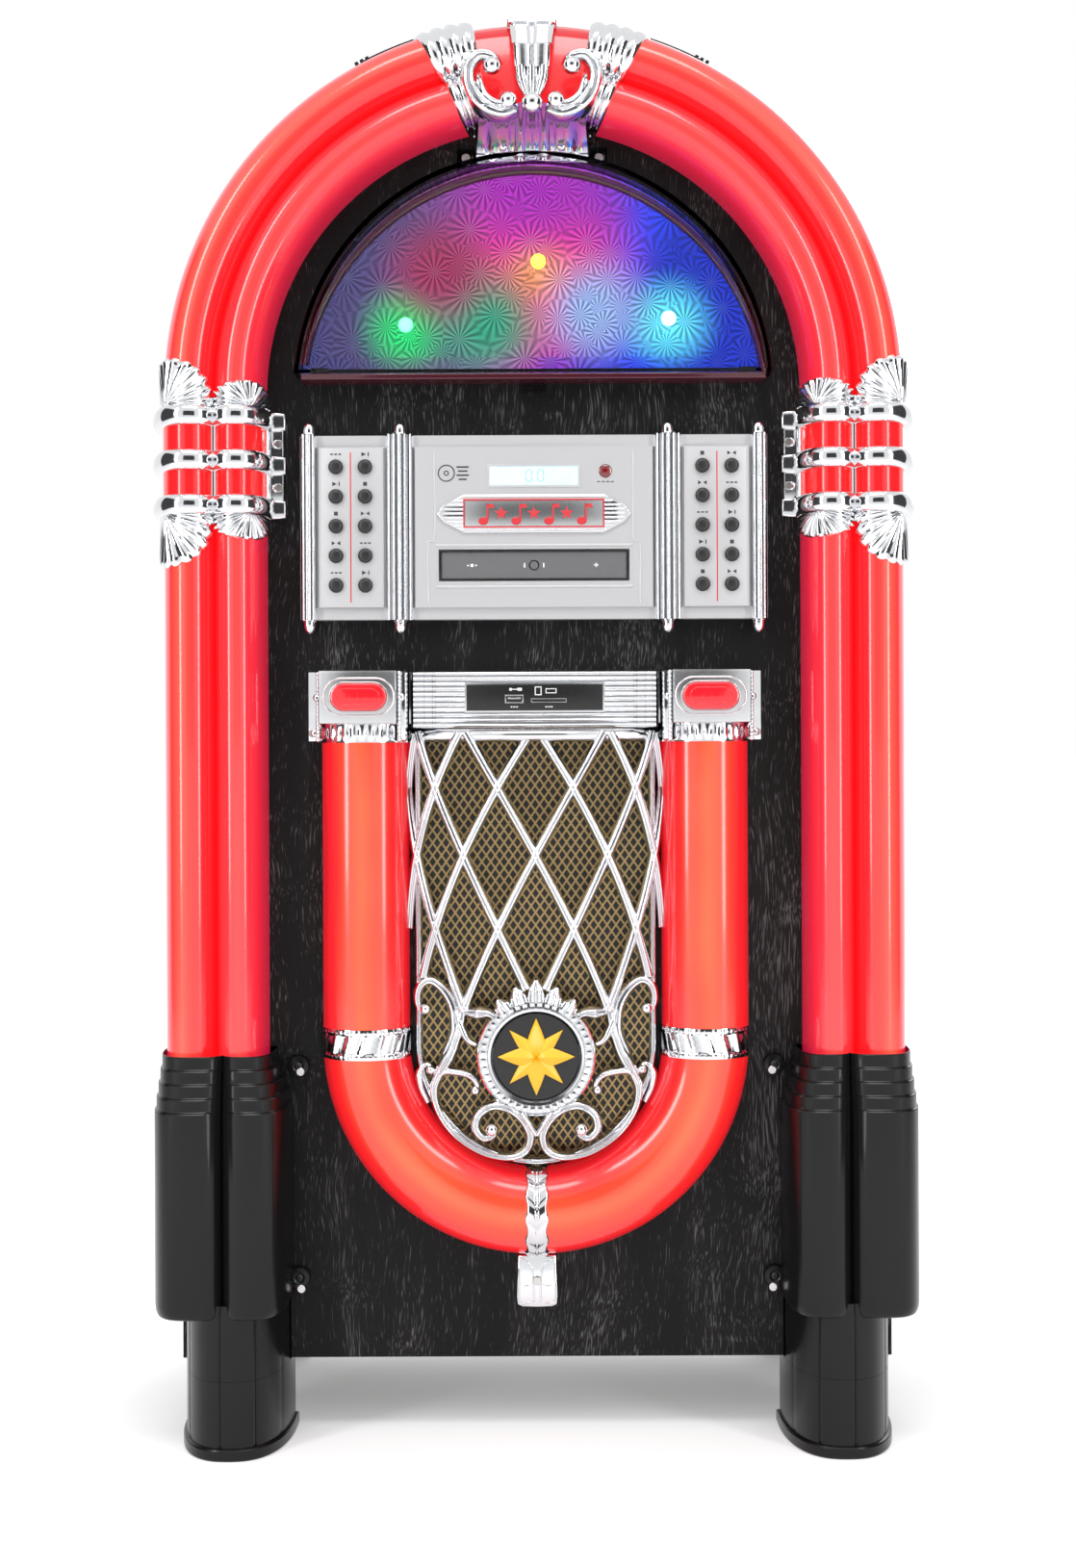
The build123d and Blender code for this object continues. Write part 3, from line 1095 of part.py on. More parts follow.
with BuildPart() as clamp_right:
    for step in (-1, 0, 1):
        with BuildSketch(plan(CLAMP_MIDDLE + step * CLAMP_PITCH + CLAMP_BAND_HEIGHT / 2)):
            add(clamp_shell(FIT, CLAMP_PROUD))
        extrude(amount=CLAMP_BAND_HEIGHT)
    with BuildSketch(plan(CLAMP_MIDDLE + CLAMP_REACH)):
        add(clamp_shell(FIT, CLAMP_BAR_PROUD))
        with Locations((LENS_VALLEY, 0), (LENS_OUTER + CLAMP_BAR_PROUD, 0)):
            Rectangle(CLAMP_BAR, 4 * LENS_CREST, mode=Mode.INTERSECT)
    extrude(amount=2 * CLAMP_REACH)
    with BuildSketch(front(0)):
        with Locations((LENS_INNER - FIT, CLAMP_MIDDLE)):
            Rectangle(CLAMP_FLANGE, 2 * CLAMP_REACH, align=(Align.MAX, Align.CENTER))
        with Locations(*CLAMP_SPOTS[::2]):
            Circle(SCREW_HOLE, mode=Mode.SUBTRACT)
    extrude(amount=FLANGE_THICKNESS)
    add(clamp_fans.part)
save(clamp_right, "clamp_right")

with BuildPart() as clamp_left:
    mirror(clamp_right.part, about=Plane.YZ)
save(clamp_left, "clamp_left")

# ---------------------------------------------------------------------------- crown
LENS_TOP = ARCH_CENTRE + LENS_OUTER
CROWN_TOP = LENS_TOP + CROWN_RISE
LENS_UNDER = ARCH_CENTRE + LENS_INNER
STRAP_THICKNESS = 4.0
STRAP_MIDDLE_ANGLE = 14.0
RAIL_THICKNESS = 4.0
RAIL_FRONT = 34.0
BRIDGE_BACK = LENS_CREST + FIT
BRIDGE_THICKNESS = 6.0
TAB_BASE = LENS_UNDER + 12.0
BALL_RADIUS = 7.5
HOOK_WIDTH = 9.0
HOOK_FOOT = LENS_UNDER + 4.0
HOOK_RUN = 18.0             # straight part of a hook, from the middle
HOOK_REACH = 40.0           # its widest point
HOOK_END = 26.0
TAB_THICKNESS = BRIDGE_THICKNESS + 3.0
HOOK_THICKNESS = BRIDGE_THICKNESS + 4.0
CAP_OVERHANG = 3.0          # each side of the tab
SKIRT_REACH_UP = 15.0       # height of the web that reaches out to the bridge
CAP_BACK = 20.0

with BuildPart() as crown_ornament:
    # the straps bend round both lobes, left and right of the crown lens
    with BuildSketch(spoke(90 - STRAP_MIDDLE_ANGLE - STRAP_HALF_ANGLE)):
        add(clamp_shell(FIT, STRAP_THICKNESS))
    revolve(axis=ARCH_AXIS, revolution_arc=2 * STRAP_HALF_ANGLE)
    # rails run on along the arch's outer edge
    with BuildSketch(spoke(90 - RAIL_ANGLE)):
        with Locations((LENS_OUTER + FIT, -CAP_BACK)):
            Rectangle(RAIL_THICKNESS, RAIL_FRONT + CAP_BACK, align=(Align.MIN, Align.MIN))
    revolve(axis=ARCH_AXIS, revolution_arc=RAIL_ANGLE - STRAP_MIDDLE_ANGLE)
    # hooks that curl up beside the tab
    with BuildSketch(front(BRIDGE_BACK)):
        with BuildLine():
            hook_foot = Line((0, HOOK_FOOT), (HOOK_RUN, HOOK_FOOT))
            hook_arm = TangentArc(hook_foot @ 1, (HOOK_REACH, HOOK_FOOT + HOOK_RUN), tangent=hook_foot % 1)
            hook_curl = TangentArc(hook_arm @ 1, (HOOK_END, HOOK_FOOT + HOOK_REACH - HOOK_RUN),
                                   tangent=hook_arm % 1)
        trace(line_width=HOOK_WIDTH)
    extrude(amount=HOOK_THICKNESS)
    mirror(about=Plane.YZ)
    # bridge between the straps, in front of the lenses
    with BuildSketch(front(BRIDGE_BACK)):
        with Locations((0, LENS_UNDER)):
            Rectangle(CROWN_SKIRT_WIDTH, SKIRT_REACH_UP, align=(Align.CENTER, Align.MIN))
    extrude(amount=BRIDGE_THICKNESS)
    # tab and its cap over the top of the lens
    with BuildSketch(front(BRIDGE_BACK)):
        with Locations((0, TAB_BASE)):
            Rectangle(CROWN_TAB_WIDTH, CROWN_TOP - TAB_BASE, align=(Align.CENTER, Align.MIN))
    extrude(amount=TAB_THICKNESS)
    with BuildSketch(front(BRIDGE_BACK)):
        with Locations((0, CROWN_TOP)):
            Rectangle(CROWN_TAB_WIDTH + 2 * CAP_OVERHANG, CROWN_RISE - FIT, align=(Align.CENTER, Align.MAX))
    extrude(amount=-BRIDGE_BACK - CAP_BACK)
    # skirt on the face and the web that carries it out to the bridge
    with BuildSketch(front(0)):
        with Locations((0, SKIRT_TOP)):
            Rectangle(CROWN_SKIRT_WIDTH, SKIRT_DROP, align=(Align.CENTER, Align.MAX))
        with Locations(*SKIRT_SPOTS):
            Circle(SCREW_HOLE, mode=Mode.SUBTRACT)
    extrude(amount=SKIRT_THICKNESS)
    with BuildSketch(front(SKIRT_THICKNESS)):
        with Locations((0, SKIRT_TOP)):
            Rectangle(CROWN_SKIRT_WIDTH / 3, SKIRT_REACH_UP, align=(Align.CENTER, Align.MAX))
    extrude(amount=BRIDGE_BACK + BRIDGE_THICKNESS - SKIRT_THICKNESS)
    with BuildSketch(front(BRIDGE_BACK)):
        with Locations((0, LENS_UNDER)):
            Rectangle(CROWN_SKIRT_WIDTH / 3, 2 * SKIRT_REACH_UP)
    extrude(amount=BRIDGE_THICKNESS)
    with Locations((0, -FACE - BRIDGE_BACK - BRIDGE_THICKNESS, LENS_UNDER - BALL_RADIUS)):
        Sphere(BALL_RADIUS)
save(crown_ornament, "crown_ornament")

# ---------------------------------------------------------------------------- rear
MODULE_DEPTH = 50.0
MODULE_GAP = 1.0
PLATE_THICKNESS = 1.5
JACK_RADIUS = 4.15
JACK_PITCH = 14.0
JACK_X = -45.0
INLET_X = 50.0
INLET_WIDTH = 17.0
INLET_HEIGHT = 8.5
INLET_DEPTH = 12.0
INLET_PIN_PITCH = 7.3
INLET_PIN_RADIUS = 1.2

with BuildPart() as amplifier_module:
    with BuildSketch(rear(0)):
        with Locations((0, TERMINAL_PLATE_Z)):
            Rectangle(TERMINAL_PLATE_WIDTH, TERMINAL_PLATE_HEIGHT)
    extrude(amount=PLATE_THICKNESS)
    with BuildSketch(rear(0)):
        with Locations((0, TERMINAL_PLATE_Z)):
            Rectangle(TERMINAL_PLATE_WIDTH - 2 * (TERMINAL_LAP + MODULE_GAP),
                      TERMINAL_PLATE_HEIGHT - 2 * (TERMINAL_LAP + MODULE_GAP))
    extrude(amount=-MODULE_DEPTH)
    with BuildSketch(rear(PLATE_THICKNESS)):
        with Locations((JACK_X, TERMINAL_PLATE_Z)):
            with GridLocations(JACK_PITCH, JACK_PITCH, 2, 2):
                Circle(JACK_RADIUS)
    extrude(amount=TERMINAL_PROUD - PLATE_THICKNESS)
    with BuildSketch(rear(PLATE_THICKNESS)):
        with Locations((INLET_X, TERMINAL_PLATE_Z)):
            SlotOverall(INLET_WIDTH, INLET_HEIGHT)
    extrude(amount=-INLET_DEPTH, mode=Mode.SUBTRACT)
    with BuildSketch(rear(PLATE_THICKNESS - INLET_DEPTH)):
        with Locations((INLET_X, TERMINAL_PLATE_Z)):
            with GridLocations(INLET_PIN_PITCH, 0, 2, 1):
                Circle(INLET_PIN_RADIUS)
    extrude(amount=INLET_DEPTH - PLATE_THICKNESS)
save(amplifier_module, "amplifier_module")
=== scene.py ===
# %% [markdown]
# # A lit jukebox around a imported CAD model
# The CAD model holds every size and every joint.  This file gives it its looks: formed lenses that
# glow, moulded chrome, veneer, mesh and a lit display.  Loading the frame comes first, because
# every place below is read from it and not chosen by eye.

# %% Load the frame
import math

import bmesh
import bpy
import numpy as np
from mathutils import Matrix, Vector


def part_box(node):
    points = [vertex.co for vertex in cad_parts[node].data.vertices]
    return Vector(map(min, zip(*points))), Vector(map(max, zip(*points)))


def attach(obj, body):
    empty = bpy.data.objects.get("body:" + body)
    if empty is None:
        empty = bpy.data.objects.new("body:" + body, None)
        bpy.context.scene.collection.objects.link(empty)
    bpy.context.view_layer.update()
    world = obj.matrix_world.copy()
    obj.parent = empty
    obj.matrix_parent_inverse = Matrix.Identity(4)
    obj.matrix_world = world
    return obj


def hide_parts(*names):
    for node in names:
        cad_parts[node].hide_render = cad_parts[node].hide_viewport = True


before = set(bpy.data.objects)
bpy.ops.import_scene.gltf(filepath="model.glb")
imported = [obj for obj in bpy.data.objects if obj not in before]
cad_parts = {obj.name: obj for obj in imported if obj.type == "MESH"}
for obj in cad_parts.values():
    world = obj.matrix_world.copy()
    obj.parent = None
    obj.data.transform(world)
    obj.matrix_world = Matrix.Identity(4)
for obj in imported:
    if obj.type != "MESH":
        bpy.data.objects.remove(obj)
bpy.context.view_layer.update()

# %% [markdown]
# Shapes are worked out in millimetres, like a workshop drawing, and turned into metres once, when
# a mesh is made.  `span` reads a CAD node's box in those units.  `proud` is how far a point stands
# in front of the cabinet's face, which is how trims on a flat board are measured.

# %% Sizes read from the frame
MM = 0.001


def span(node):
    """Lowest and highest corner of a CAD node, in millimetres."""
    low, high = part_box(node)
    return np.array(low) / MM, np.array(high) / MM


front_low, front_high = span("cabinet_front")
FACE = front_low[1]                     # y of the cabinet's face; the front looks towards -y
HALF = front_high[0]                    # half the cabinet's width
ARCH = front_high[2] - HALF             # height of the arch's centre
LENS_OUTER = span("outer_lens_right")[1][0]
LENS_CREST = FACE - span("outer_lens_right")[0][1]
LENS_BAND = 74.2                        # across both lobes
LENS_INNER = LENS_OUTER - LENS_BAND
TUBE_OUTER = span("inner_lens_right")[1][0]
TUBE_R = FACE - span("inner_lens_right")[0][1]
TUBE_X = TUBE_OUTER - TUBE_R            # tube's centre line from the middle
TUBE_Z = span("inner_lens_right")[0][2] + TUBE_OUTER
print("face", FACE, "arch centre", ARCH, "lens", LENS_INNER, LENS_OUTER, "tube", TUBE_X, TUBE_Z)

# %% [markdown]
# ## Camera, light and floor
# A product is photographed with a long-ish lens, level with its middle, and the frame is shifted
# instead of tilting the camera, so upright edges stay parallel.  Chrome only looks like chrome when
# it has something to mirror: two tall softboxes give it bright strips, and dark cards beside and
# behind the camera give it the black lines between.

# %% Camera
CAMERA_AWAY, CAMERA_HEIGHT = 1.5, 0.5119    # metres from the cabinet's face, and above the floor
camera_data = bpy.data.cameras.new("camera")
camera_data.lens = 46.56
camera_data.shift_x = 0.002
camera_data.shift_y = -0.0273
camera = bpy.data.objects.new("camera", camera_data)
camera.location = (0.0, FACE * MM - CAMERA_AWAY, CAMERA_HEIGHT)
camera.rotation_euler = (math.radians(90), math.radians(0.25), 0)
bpy.context.scene.collection.objects.link(camera)
bpy.context.scene.camera = camera
bpy.context.scene.view_settings.view_transform = "Standard"
print("camera at", tuple(camera.location))


# %% Lights and cards
def softbox(name, place, aim, width, height, power):
    """White area light at place that looks at aim, in metres and watts."""
    data = bpy.data.lights.new(name, "AREA")
    data.shape = "RECTANGLE"
    data.size, data.size_y, data.energy = width, height, power
    lamp = bpy.data.objects.new(name, data)
    direction = np.array(aim) - np.array(place)
    yaw = math.atan2(direction[0], -direction[1])
    pitch = math.atan2(-direction[2], math.hypot(direction[0], direction[1]))
    lamp.location = place
    lamp.rotation_euler = (math.radians(90) - pitch, 0, yaw + math.pi)
    bpy.context.scene.collection.objects.link(lamp)


softbox("key_box", (-1.7, -1.7, 1.3), (0, 0, 0.6), 0.35, 2.2, 26)
softbox("fill_box", (1.8, -1.8, 1.2), (0, 0, 0.6), 0.35, 2.2, 24)
softbox("top_box", (0, -1.3, 2.5), (0, 0, 0.5), 1.6, 0.5, 20)
softbox("back_box", (0.6, 2.1, 1.6), (0, 0, 0.6), 1.6, 1.4, 18)
world = bpy.data.worlds.new("studio")
world.use_nodes = True
background = world.node_tree.nodes["Background"].inputs
background["Color"].default_value = (1.0, 1.0, 1.0, 1)
background["Strength"].default_value = 1.0
bpy.context.scene.world = world
card_finish = bpy.data.materials.new("card_black")
card_finish.use_nodes = True
card_inputs = card_finish.node_tree.nodes["Principled BSDF"].inputs
card_inputs["Base Color"].default_value = (0.05, 0.05, 0.052, 1)
card_inputs["Specular IOR Level"].default_value = 0.0


def card(name, corners):
    """Black card that only mirrors and shades see, so that it never hides the object."""
    mesh = bpy.data.meshes.new(name)
    mesh.from_pydata(corners, [], [(0, 1, 2, 3)])
    mesh.materials.append(card_finish)
    item = bpy.data.objects.new(name, mesh)
    item.visible_camera = False
    item.visible_shadow = False
    bpy.context.scene.collection.objects.link(item)


card("card_front", [(-1.0, -2.9, 0.5), (1.0, -2.9, 0.5), (1.0, -2.9, 2.0), (-1.0, -2.9, 2.0)])
for card_name, x in (("card_left", -2.6), ("card_right", 2.6)):
    card(card_name, [(x, -2.4, 0.0), (x, 1.0, 0.0), (x, 1.0, 2.4), (x, -2.4, 2.4)])


# %% [markdown]
# ## Making meshes from formulas
# Every new piece is a grid of points: a shape is a function of two parameters, evaluated for whole
# arrays at once.  A *shell* here is a pair of arrays, points and quads.  Several shells make one
# piece, so a screw's head and its cross are joined before they reach Blender.

# %% Shells
TINY = 1e-9                             # keeps a division by a length of 0 finite


def unit(vectors):
    """Vectors along the last axis, scaled to length 1."""
    return vectors / (np.linalg.norm(vectors, axis=-1, keepdims=True) + TINY)


def runs(curve):
    """Length along a curve at each of its points."""
    return np.concatenate([[0], np.cumsum(np.linalg.norm(np.diff(curve, axis=0), axis=1))])


def even(curve, count):
    """Curve of any dimension resampled to count points, evenly along its length."""
    run = runs(curve)
    at = np.linspace(0, run[-1], count)
    return np.stack([np.interp(at, run, column) for column in curve.T], 1)


def grid(points, wrap=(False, False)):
    """Quads between neighbouring points of an (n, m, 3) array; wrap joins the last row to the first."""
    points = np.asarray(points, float)
    rows, columns = points.shape[:2]
    index = np.arange(rows * columns).reshape(rows, columns)
    if wrap[0]:
        index = np.vstack([index, index[:1]])
    if wrap[1]:
        index = np.hstack([index, index[:, :1]])
    quads = np.stack([index[:-1, :-1], index[1:, :-1], index[1:, 1:], index[:-1, 1:]], axis=-1)
    return points.reshape(-1, 3), quads.reshape(-1, 4)


def lidded(points):
    """Grid whose rings (second index) are closed, with the first and last ring filled to a middle point."""
    points = np.asarray(points, float)
    ends = [np.repeat(points[at].mean(0)[None], points.shape[1], axis=0) for at in (0, -1)]
    return grid(np.concatenate([ends[0][None], points, ends[1][None]]), (False, True))


def prism(outline, back, front, edge=0.5):
    """Plate of an (n, 2) outline in x and z, from back to front proud of the face, its front edge rounded.

    Near the front each point moves towards the outline's inside, along the mean of its two edge
    normals, by edge times (1 - cos t) while it comes forward by edge times sin t.
    """
    outline = np.asarray(outline, float)
    ahead, behind = np.roll(outline, -1, 0) - outline, outline - np.roll(outline, 1, 0)
    normals = [unit(np.stack([side[:, 1], -side[:, 0]], 1)) for side in (ahead, behind)]
    inward = -(normals[0] + normals[1])
    inward /= np.maximum(np.linalg.norm(inward, axis=1)[:, None] ** 2 / 2, 0.35)
    x, z = outline.T
    twist = np.sum(x * np.roll(z, -1) - z * np.roll(x, -1))
    inward *= 1 if twist > 0 else -1
    turn = np.array([0.0, 0.5, 1.0]) * math.pi / 2
    steps = [(0, back)] + [(edge * (1 - math.cos(t)), front - edge + edge * math.sin(t)) for t in turn]
    rings = [np.stack([x + inward[:, 0] * move, np.full(len(outline), FACE - proud),
                       z + inward[:, 1] * move], 1) for move, proud in steps]
    points, quads = grid(np.array(rings), (False, True))
    count = len(outline)
    caps = [list(range(count))[::-1], list(range(len(points) - count, len(points)))]
    return points, quads, caps


def lathe(profile, centre, axis="y", steps=32):
    """Profile of (radius, forward) pairs turned about a line through centre; forward is out of the face.

    With axis z the profile's second value is height instead.
    """
    profile = np.asarray(profile, float)
    turn = np.linspace(0, 2 * math.pi, steps, endpoint=False)
    radius, along = profile[:, 0][:, None], np.repeat(profile[:, 1][:, None], steps, 1)
    a, b = radius * np.cos(turn), radius * np.sin(turn)
    points = np.stack([a, -along, b] if axis == "y" else [a, b, along], -1)
    return grid(points + np.asarray(centre, float), (False, True))


def sweep(path, section, width=1.0, up=(0, -1, 0)):
    """Section of (across, rise) points carried along a path; across is path direction x up.

    width scales the section at each path point, so a scroll can taper.  Ends are closed.
    """
    path = np.asarray(path, float)
    ahead = unit(np.gradient(path, axis=0))
    across = unit(np.cross(ahead, np.broadcast_to(np.asarray(up, float), path.shape)))
    lift = np.cross(across, ahead)
    scale = np.broadcast_to(np.asarray(width, float), (len(path),))[:, None, None]
    section = np.asarray(section, float)
    sideways, upwards = section[None, :, :1] * across[:, None], section[None, :, 1:] * lift[:, None]
    return lidded(path[:, None] + scale * (sideways + upwards))


def ridge(width, height, ridges=1, foot=0.0, count=24):
    """Closed section of a moulded bar: its top is ridges half waves across, its back is flat at -foot."""
    across = np.linspace(-0.5, 0.5, count)
    dome = np.sqrt(np.clip(1 - (2 * across) ** 2, 0, 1))
    wave = np.abs(np.sin(math.pi * ridges * (across + 0.5))) if ridges > 1 else 1.0
    top = height * dome * (0.55 + 0.45 * wave)
    return np.concatenate([np.stack([across * width, top], 1),
                           [[width / 2, -foot - 0.01], [-width / 2, -foot - 0.01]]])


def mirrored(shell):
    """The same shell on the other side of the middle."""
    return (shell[0] * [-1, 1, 1],) + tuple(shell[1:])


def on_side(side, shells):
    """Shells drawn on the right, or their mirror images for the left."""
    return [mirrored(shell) for shell in shells] if side == "left" else list(shells)


def both_sides(shells):
    """Each shell followed by its mirror image."""
    return [made for shell in shells for made in (shell, mirrored(shell))]


# %% [markdown]
# A piece is what the frame carries: it is given its finish, the CAD body that it rides on and the CAD nodes
# that it stands for.  Points that coincide are joined first, so that its normals can be turned outwards all at
# once.

# %% Pieces
JOIN_WITHIN = 2e-6                      # metres; closer points are one point
SHARP_EDGE = 32                         # degrees; a CAD edge that turns more is eased


def piece(name, shells, material, body="root", replaces=(), smooth=35, lay=None):
    """Join shells into one mesh in metres, point its faces outwards and tie it to its CAD body."""
    points, faces, start = [], [], 0
    for shell in shells:
        points.append(shell[0])
        faces += (np.asarray(shell[1]) + start).tolist()
        for cap in shell[2] if len(shell) > 2 else ():
            faces.append([at + start for at in cap])
        start += len(shell[0])
    mesh = bpy.data.meshes.new(name)
    mesh.from_pydata(np.concatenate(points) * MM, [], faces)
    if lay is not None:
        layer = mesh.attributes.new("lay", "FLOAT2", "POINT")
        layer.data.foreach_set("vector", np.asarray(lay, np.float32).ravel())
    work = bmesh.new()
    work.from_mesh(mesh)
    bmesh.ops.remove_doubles(work, verts=work.verts, dist=JOIN_WITHIN)
    bmesh.ops.dissolve_degenerate(work, edges=work.edges, dist=JOIN_WITHIN / 2)
    bmesh.ops.recalc_face_normals(work, faces=work.faces)
    work.to_mesh(mesh)
    work.free()
    mesh.shade_smooth()
    mesh.set_sharp_from_angle(angle=math.radians(smooth))
    return settle(bpy.data.objects.new(name, mesh), material, body, replaces)


def settle(item, material, body, replaces=()):
    """Link a finished object, give it its finish and say what it rides on and stands for."""
    bpy.context.scene.collection.objects.link(item)
    item.data.materials.clear()
    item.data.materials.append(material)
    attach(item, body)
    for node in replaces:
        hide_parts(node)
    print(item.name, len(item.data.polygons), "faces")
    return item


def eased(node, name, material, width, body="root"):
    """Copy of a CAD node with its hard edges rounded by width; it stands for the node."""
    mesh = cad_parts[node].data.copy()
    mesh.name = name
    work = bmesh.new()
    work.from_mesh(mesh)
    bmesh.ops.remove_doubles(work, verts=work.verts, dist=JOIN_WITHIN)
    bmesh.ops.dissolve_limit(work, angle_limit=math.radians(1.0), verts=work.verts, edges=work.edges)
    work.to_mesh(mesh)
    work.free()
    item = bpy.data.objects.new(name, mesh)
    bevel = item.modifiers.new("edges", "BEVEL")
    bevel.width, bevel.segments, bevel.limit_method = width * MM, 2, "ANGLE"
    bevel.angle_limit = math.radians(SHARP_EDGE)
    mesh.shade_smooth()
    mesh.set_sharp_from_angle(angle=math.radians(SHARP_EDGE))
    return settle(item, material, body, (node,))


# %% [markdown]
# ## Finishes
# A finish is a small shader tree.  Effects that several finishes share, such as fine roughness,
# wood grain or a lens's glow, are node groups that give only colours, values and normals, so each
# can be reused on another object.  Noise is read in object space, which keeps its real scale
# (a grain of 2 mm stays 2 mm) whatever the piece's size.


# %% Helpers for shader trees
def fill(tree, made, values):
    """Link each input whose value is a socket, and set every other one."""
    for socket, value in values.items():
        if isinstance(value, bpy.types.NodeSocket):
            tree.links.new(value, made.inputs[socket])
        else:
            made.inputs[socket].default_value = value
    return made


def add(tree, kind, values=None, **settings):
    """New node with its settings, which can change its inputs, and then its inputs filled."""
    made = tree.nodes.new("ShaderNode" + kind)
    for key, value in settings.items():
        setattr(made, key, value)
    return fill(tree, made, values or {})


def calc(tree, operation, *values):
    """Output of a maths node."""
    return add(tree, "Math", dict(enumerate(values)), operation=operation).outputs[0]


def remap(tree, value, start, end, low=0.0, high=1.0, kind="LINEAR"):
    """Output that goes from low to high while value goes from start to end."""
    return add(tree, "MapRange", {"Value": value, "From Min": start, "From Max": end, "To Min": low,
                                  "To Max": high}, interpolation_type=kind).outputs[0]


def mix(tree, factor, a, b, blend="MIX"):
    """Colour output between a and b."""
    return add(tree, "Mix", {"Factor": factor, "A": a, "B": b}, data_type="RGBA",
               blend_type=blend).outputs["Result"]


def noise(tree, vector, scale, detail, **more):
    """Noise node, whose first output is its value."""
    return add(tree, "TexNoise", {"Vector": vector, "Scale": scale, "Detail": detail, **more})


def object_coords(tree):
    """Place in the object's own space, in metres."""
    return add(tree, "TexCoord").outputs["Object"]


def split(tree, vector):
    """The three parts of a vector."""
    return add(tree, "SeparateXYZ", {0: vector}).outputs


def ramp(tree, factor, stops):
    """Colour ramp through (position, colour) stops."""
    made = add(tree, "ValToRGB", {0: factor})
    made.color_ramp.interpolation = "EASE"
    while len(made.color_ramp.elements) < len(stops):
        made.color_ramp.elements.new(0.5)
    for element, (position, colour) in zip(made.color_ramp.elements, stops):
        element.position, element.color = position, (*colour, 1)
    return made.outputs["Color"]


def group(name, inputs, outputs):
    """Empty node group; inputs is {name: default}, outputs is {name: type}."""
    tree = bpy.data.node_groups.new(name, "ShaderNodeTree")
    for label, default in inputs.items():
        socket = tree.interface.new_socket(label, in_out="INPUT", socket_type="NodeSocketFloat")
        socket.default_value = default
    for label, kind in outputs.items():
        tree.interface.new_socket(label, in_out="OUTPUT", socket_type="NodeSocket" + kind)
    return tree, tree.nodes.new("NodeGroupInput").outputs, tree.nodes.new("NodeGroupOutput")


def use(tree, shared, values):
    """Outputs of a node group placed in a tree."""
    return add(tree, "Group", values, node_tree=shared).outputs


def finish(name, colour, metallic=0.0, roughness=0.5, **more):
    """Material with its tree and its Principled node's inputs; more names inputs, with _ for a space."""
    made = bpy.data.materials.new(name)
    made.use_nodes = True
    shader = made.node_tree.nodes["Principled BSDF"]
    values = {"Base Color": (*colour, 1), "Metallic": metallic, "Roughness": roughness}
    values.update({label.replace("_", " "): value for label, value in more.items()})
    fill(made.node_tree, shader, values)
    return made, made.node_tree, shader


# %% [markdown]
# ### Shared effects
# - Surface: slow waviness of a moulded skin and fine scatter of its shine.
# - Grain: long cells stretched upright, cut by a second noise into short open pores.
# - Glow: the lay attribute gives how far across a moulding a point is, and how far along it.
# - Foil: stars of radial facets.  Nearest-point cells give each star a centre; the angle round
#   that centre, cut into wedges, sets how much each sliver catches the light.

# %% Surface and grain
surface_fx, ins, outs = group("surface_fx", {"Scale": 60.0, "Roughness": 0.3, "Spread": 0.1, "Bump": 0.1},
                              {"Roughness": "Float", "Normal": "Vector"})
waves = noise(surface_fx, object_coords(surface_fx), ins["Scale"], 4.0).outputs[0]
centred = calc(surface_fx, "SUBTRACT", waves, 0.5)
spread = calc(surface_fx, "MULTIPLY_ADD", centred, ins["Spread"], ins["Roughness"])
bump = add(surface_fx, "Bump", {"Strength": ins["Bump"], "Distance": 0.0006, "Height": waves})
fill(surface_fx, outs, {"Roughness": spread, "Normal": bump.outputs[0]})

grain_fx, ins, outs = group("grain_fx", {"Pore": 0.5}, {"Pores": "Float", "Cloud": "Float", "Normal": "Vector"})
coords = object_coords(grain_fx)
warp = noise(grain_fx, coords, 7.0, 2.0).outputs["Color"]
bend = add(grain_fx, "VectorMath", {0: warp, "Scale": 0.035}, operation="SCALE").outputs[0]
moved = add(grain_fx, "VectorMath", {0: coords, 1: bend}, operation="ADD").outputs[0]
fine = add(grain_fx, "Mapping", {"Vector": moved, "Scale": (1150.0, 1150.0, 62.0)}).outputs[0]
pores = noise(grain_fx, fine, 1.0, 2.0, Roughness=0.45).outputs[0]
figure = add(grain_fx, "Mapping", {"Vector": moved, "Scale": (34.0, 34.0, 4.2)}).outputs[0]
cloud = noise(grain_fx, figure, 1.0, 5.0).outputs[0]
cut = remap(grain_fx, calc(grain_fx, "MULTIPLY_ADD", cloud, 0.55, pores), 0.86, 1.02)
bump = add(grain_fx, "Bump", {"Strength": 0.35, "Distance": 0.0004, "Height": cut})
fill(grain_fx, outs, {"Pores": calc(grain_fx, "MULTIPLY", cut, ins["Pore"]), "Cloud": cloud,
                      "Normal": bump.outputs[0]})

# %% Glow and foil
glow_fx, ins, outs = group("glow_fx", {"Blotch": 0.1, "Size": 12.0},
                           {"Across": "Float", "Along": "Float", "Patch": "Float"})
lay = split(glow_fx, add(glow_fx, "Attribute", attribute_name="lay").outputs["Vector"])
patch = noise(glow_fx, object_coords(glow_fx), ins["Size"], 1.5).outputs[0]
shift = calc(glow_fx, "MULTIPLY_ADD", calc(glow_fx, "SUBTRACT", patch, 0.5), ins["Blotch"], lay[0])
fill(glow_fx, outs, {"Across": shift, "Along": lay[1], "Patch": patch})

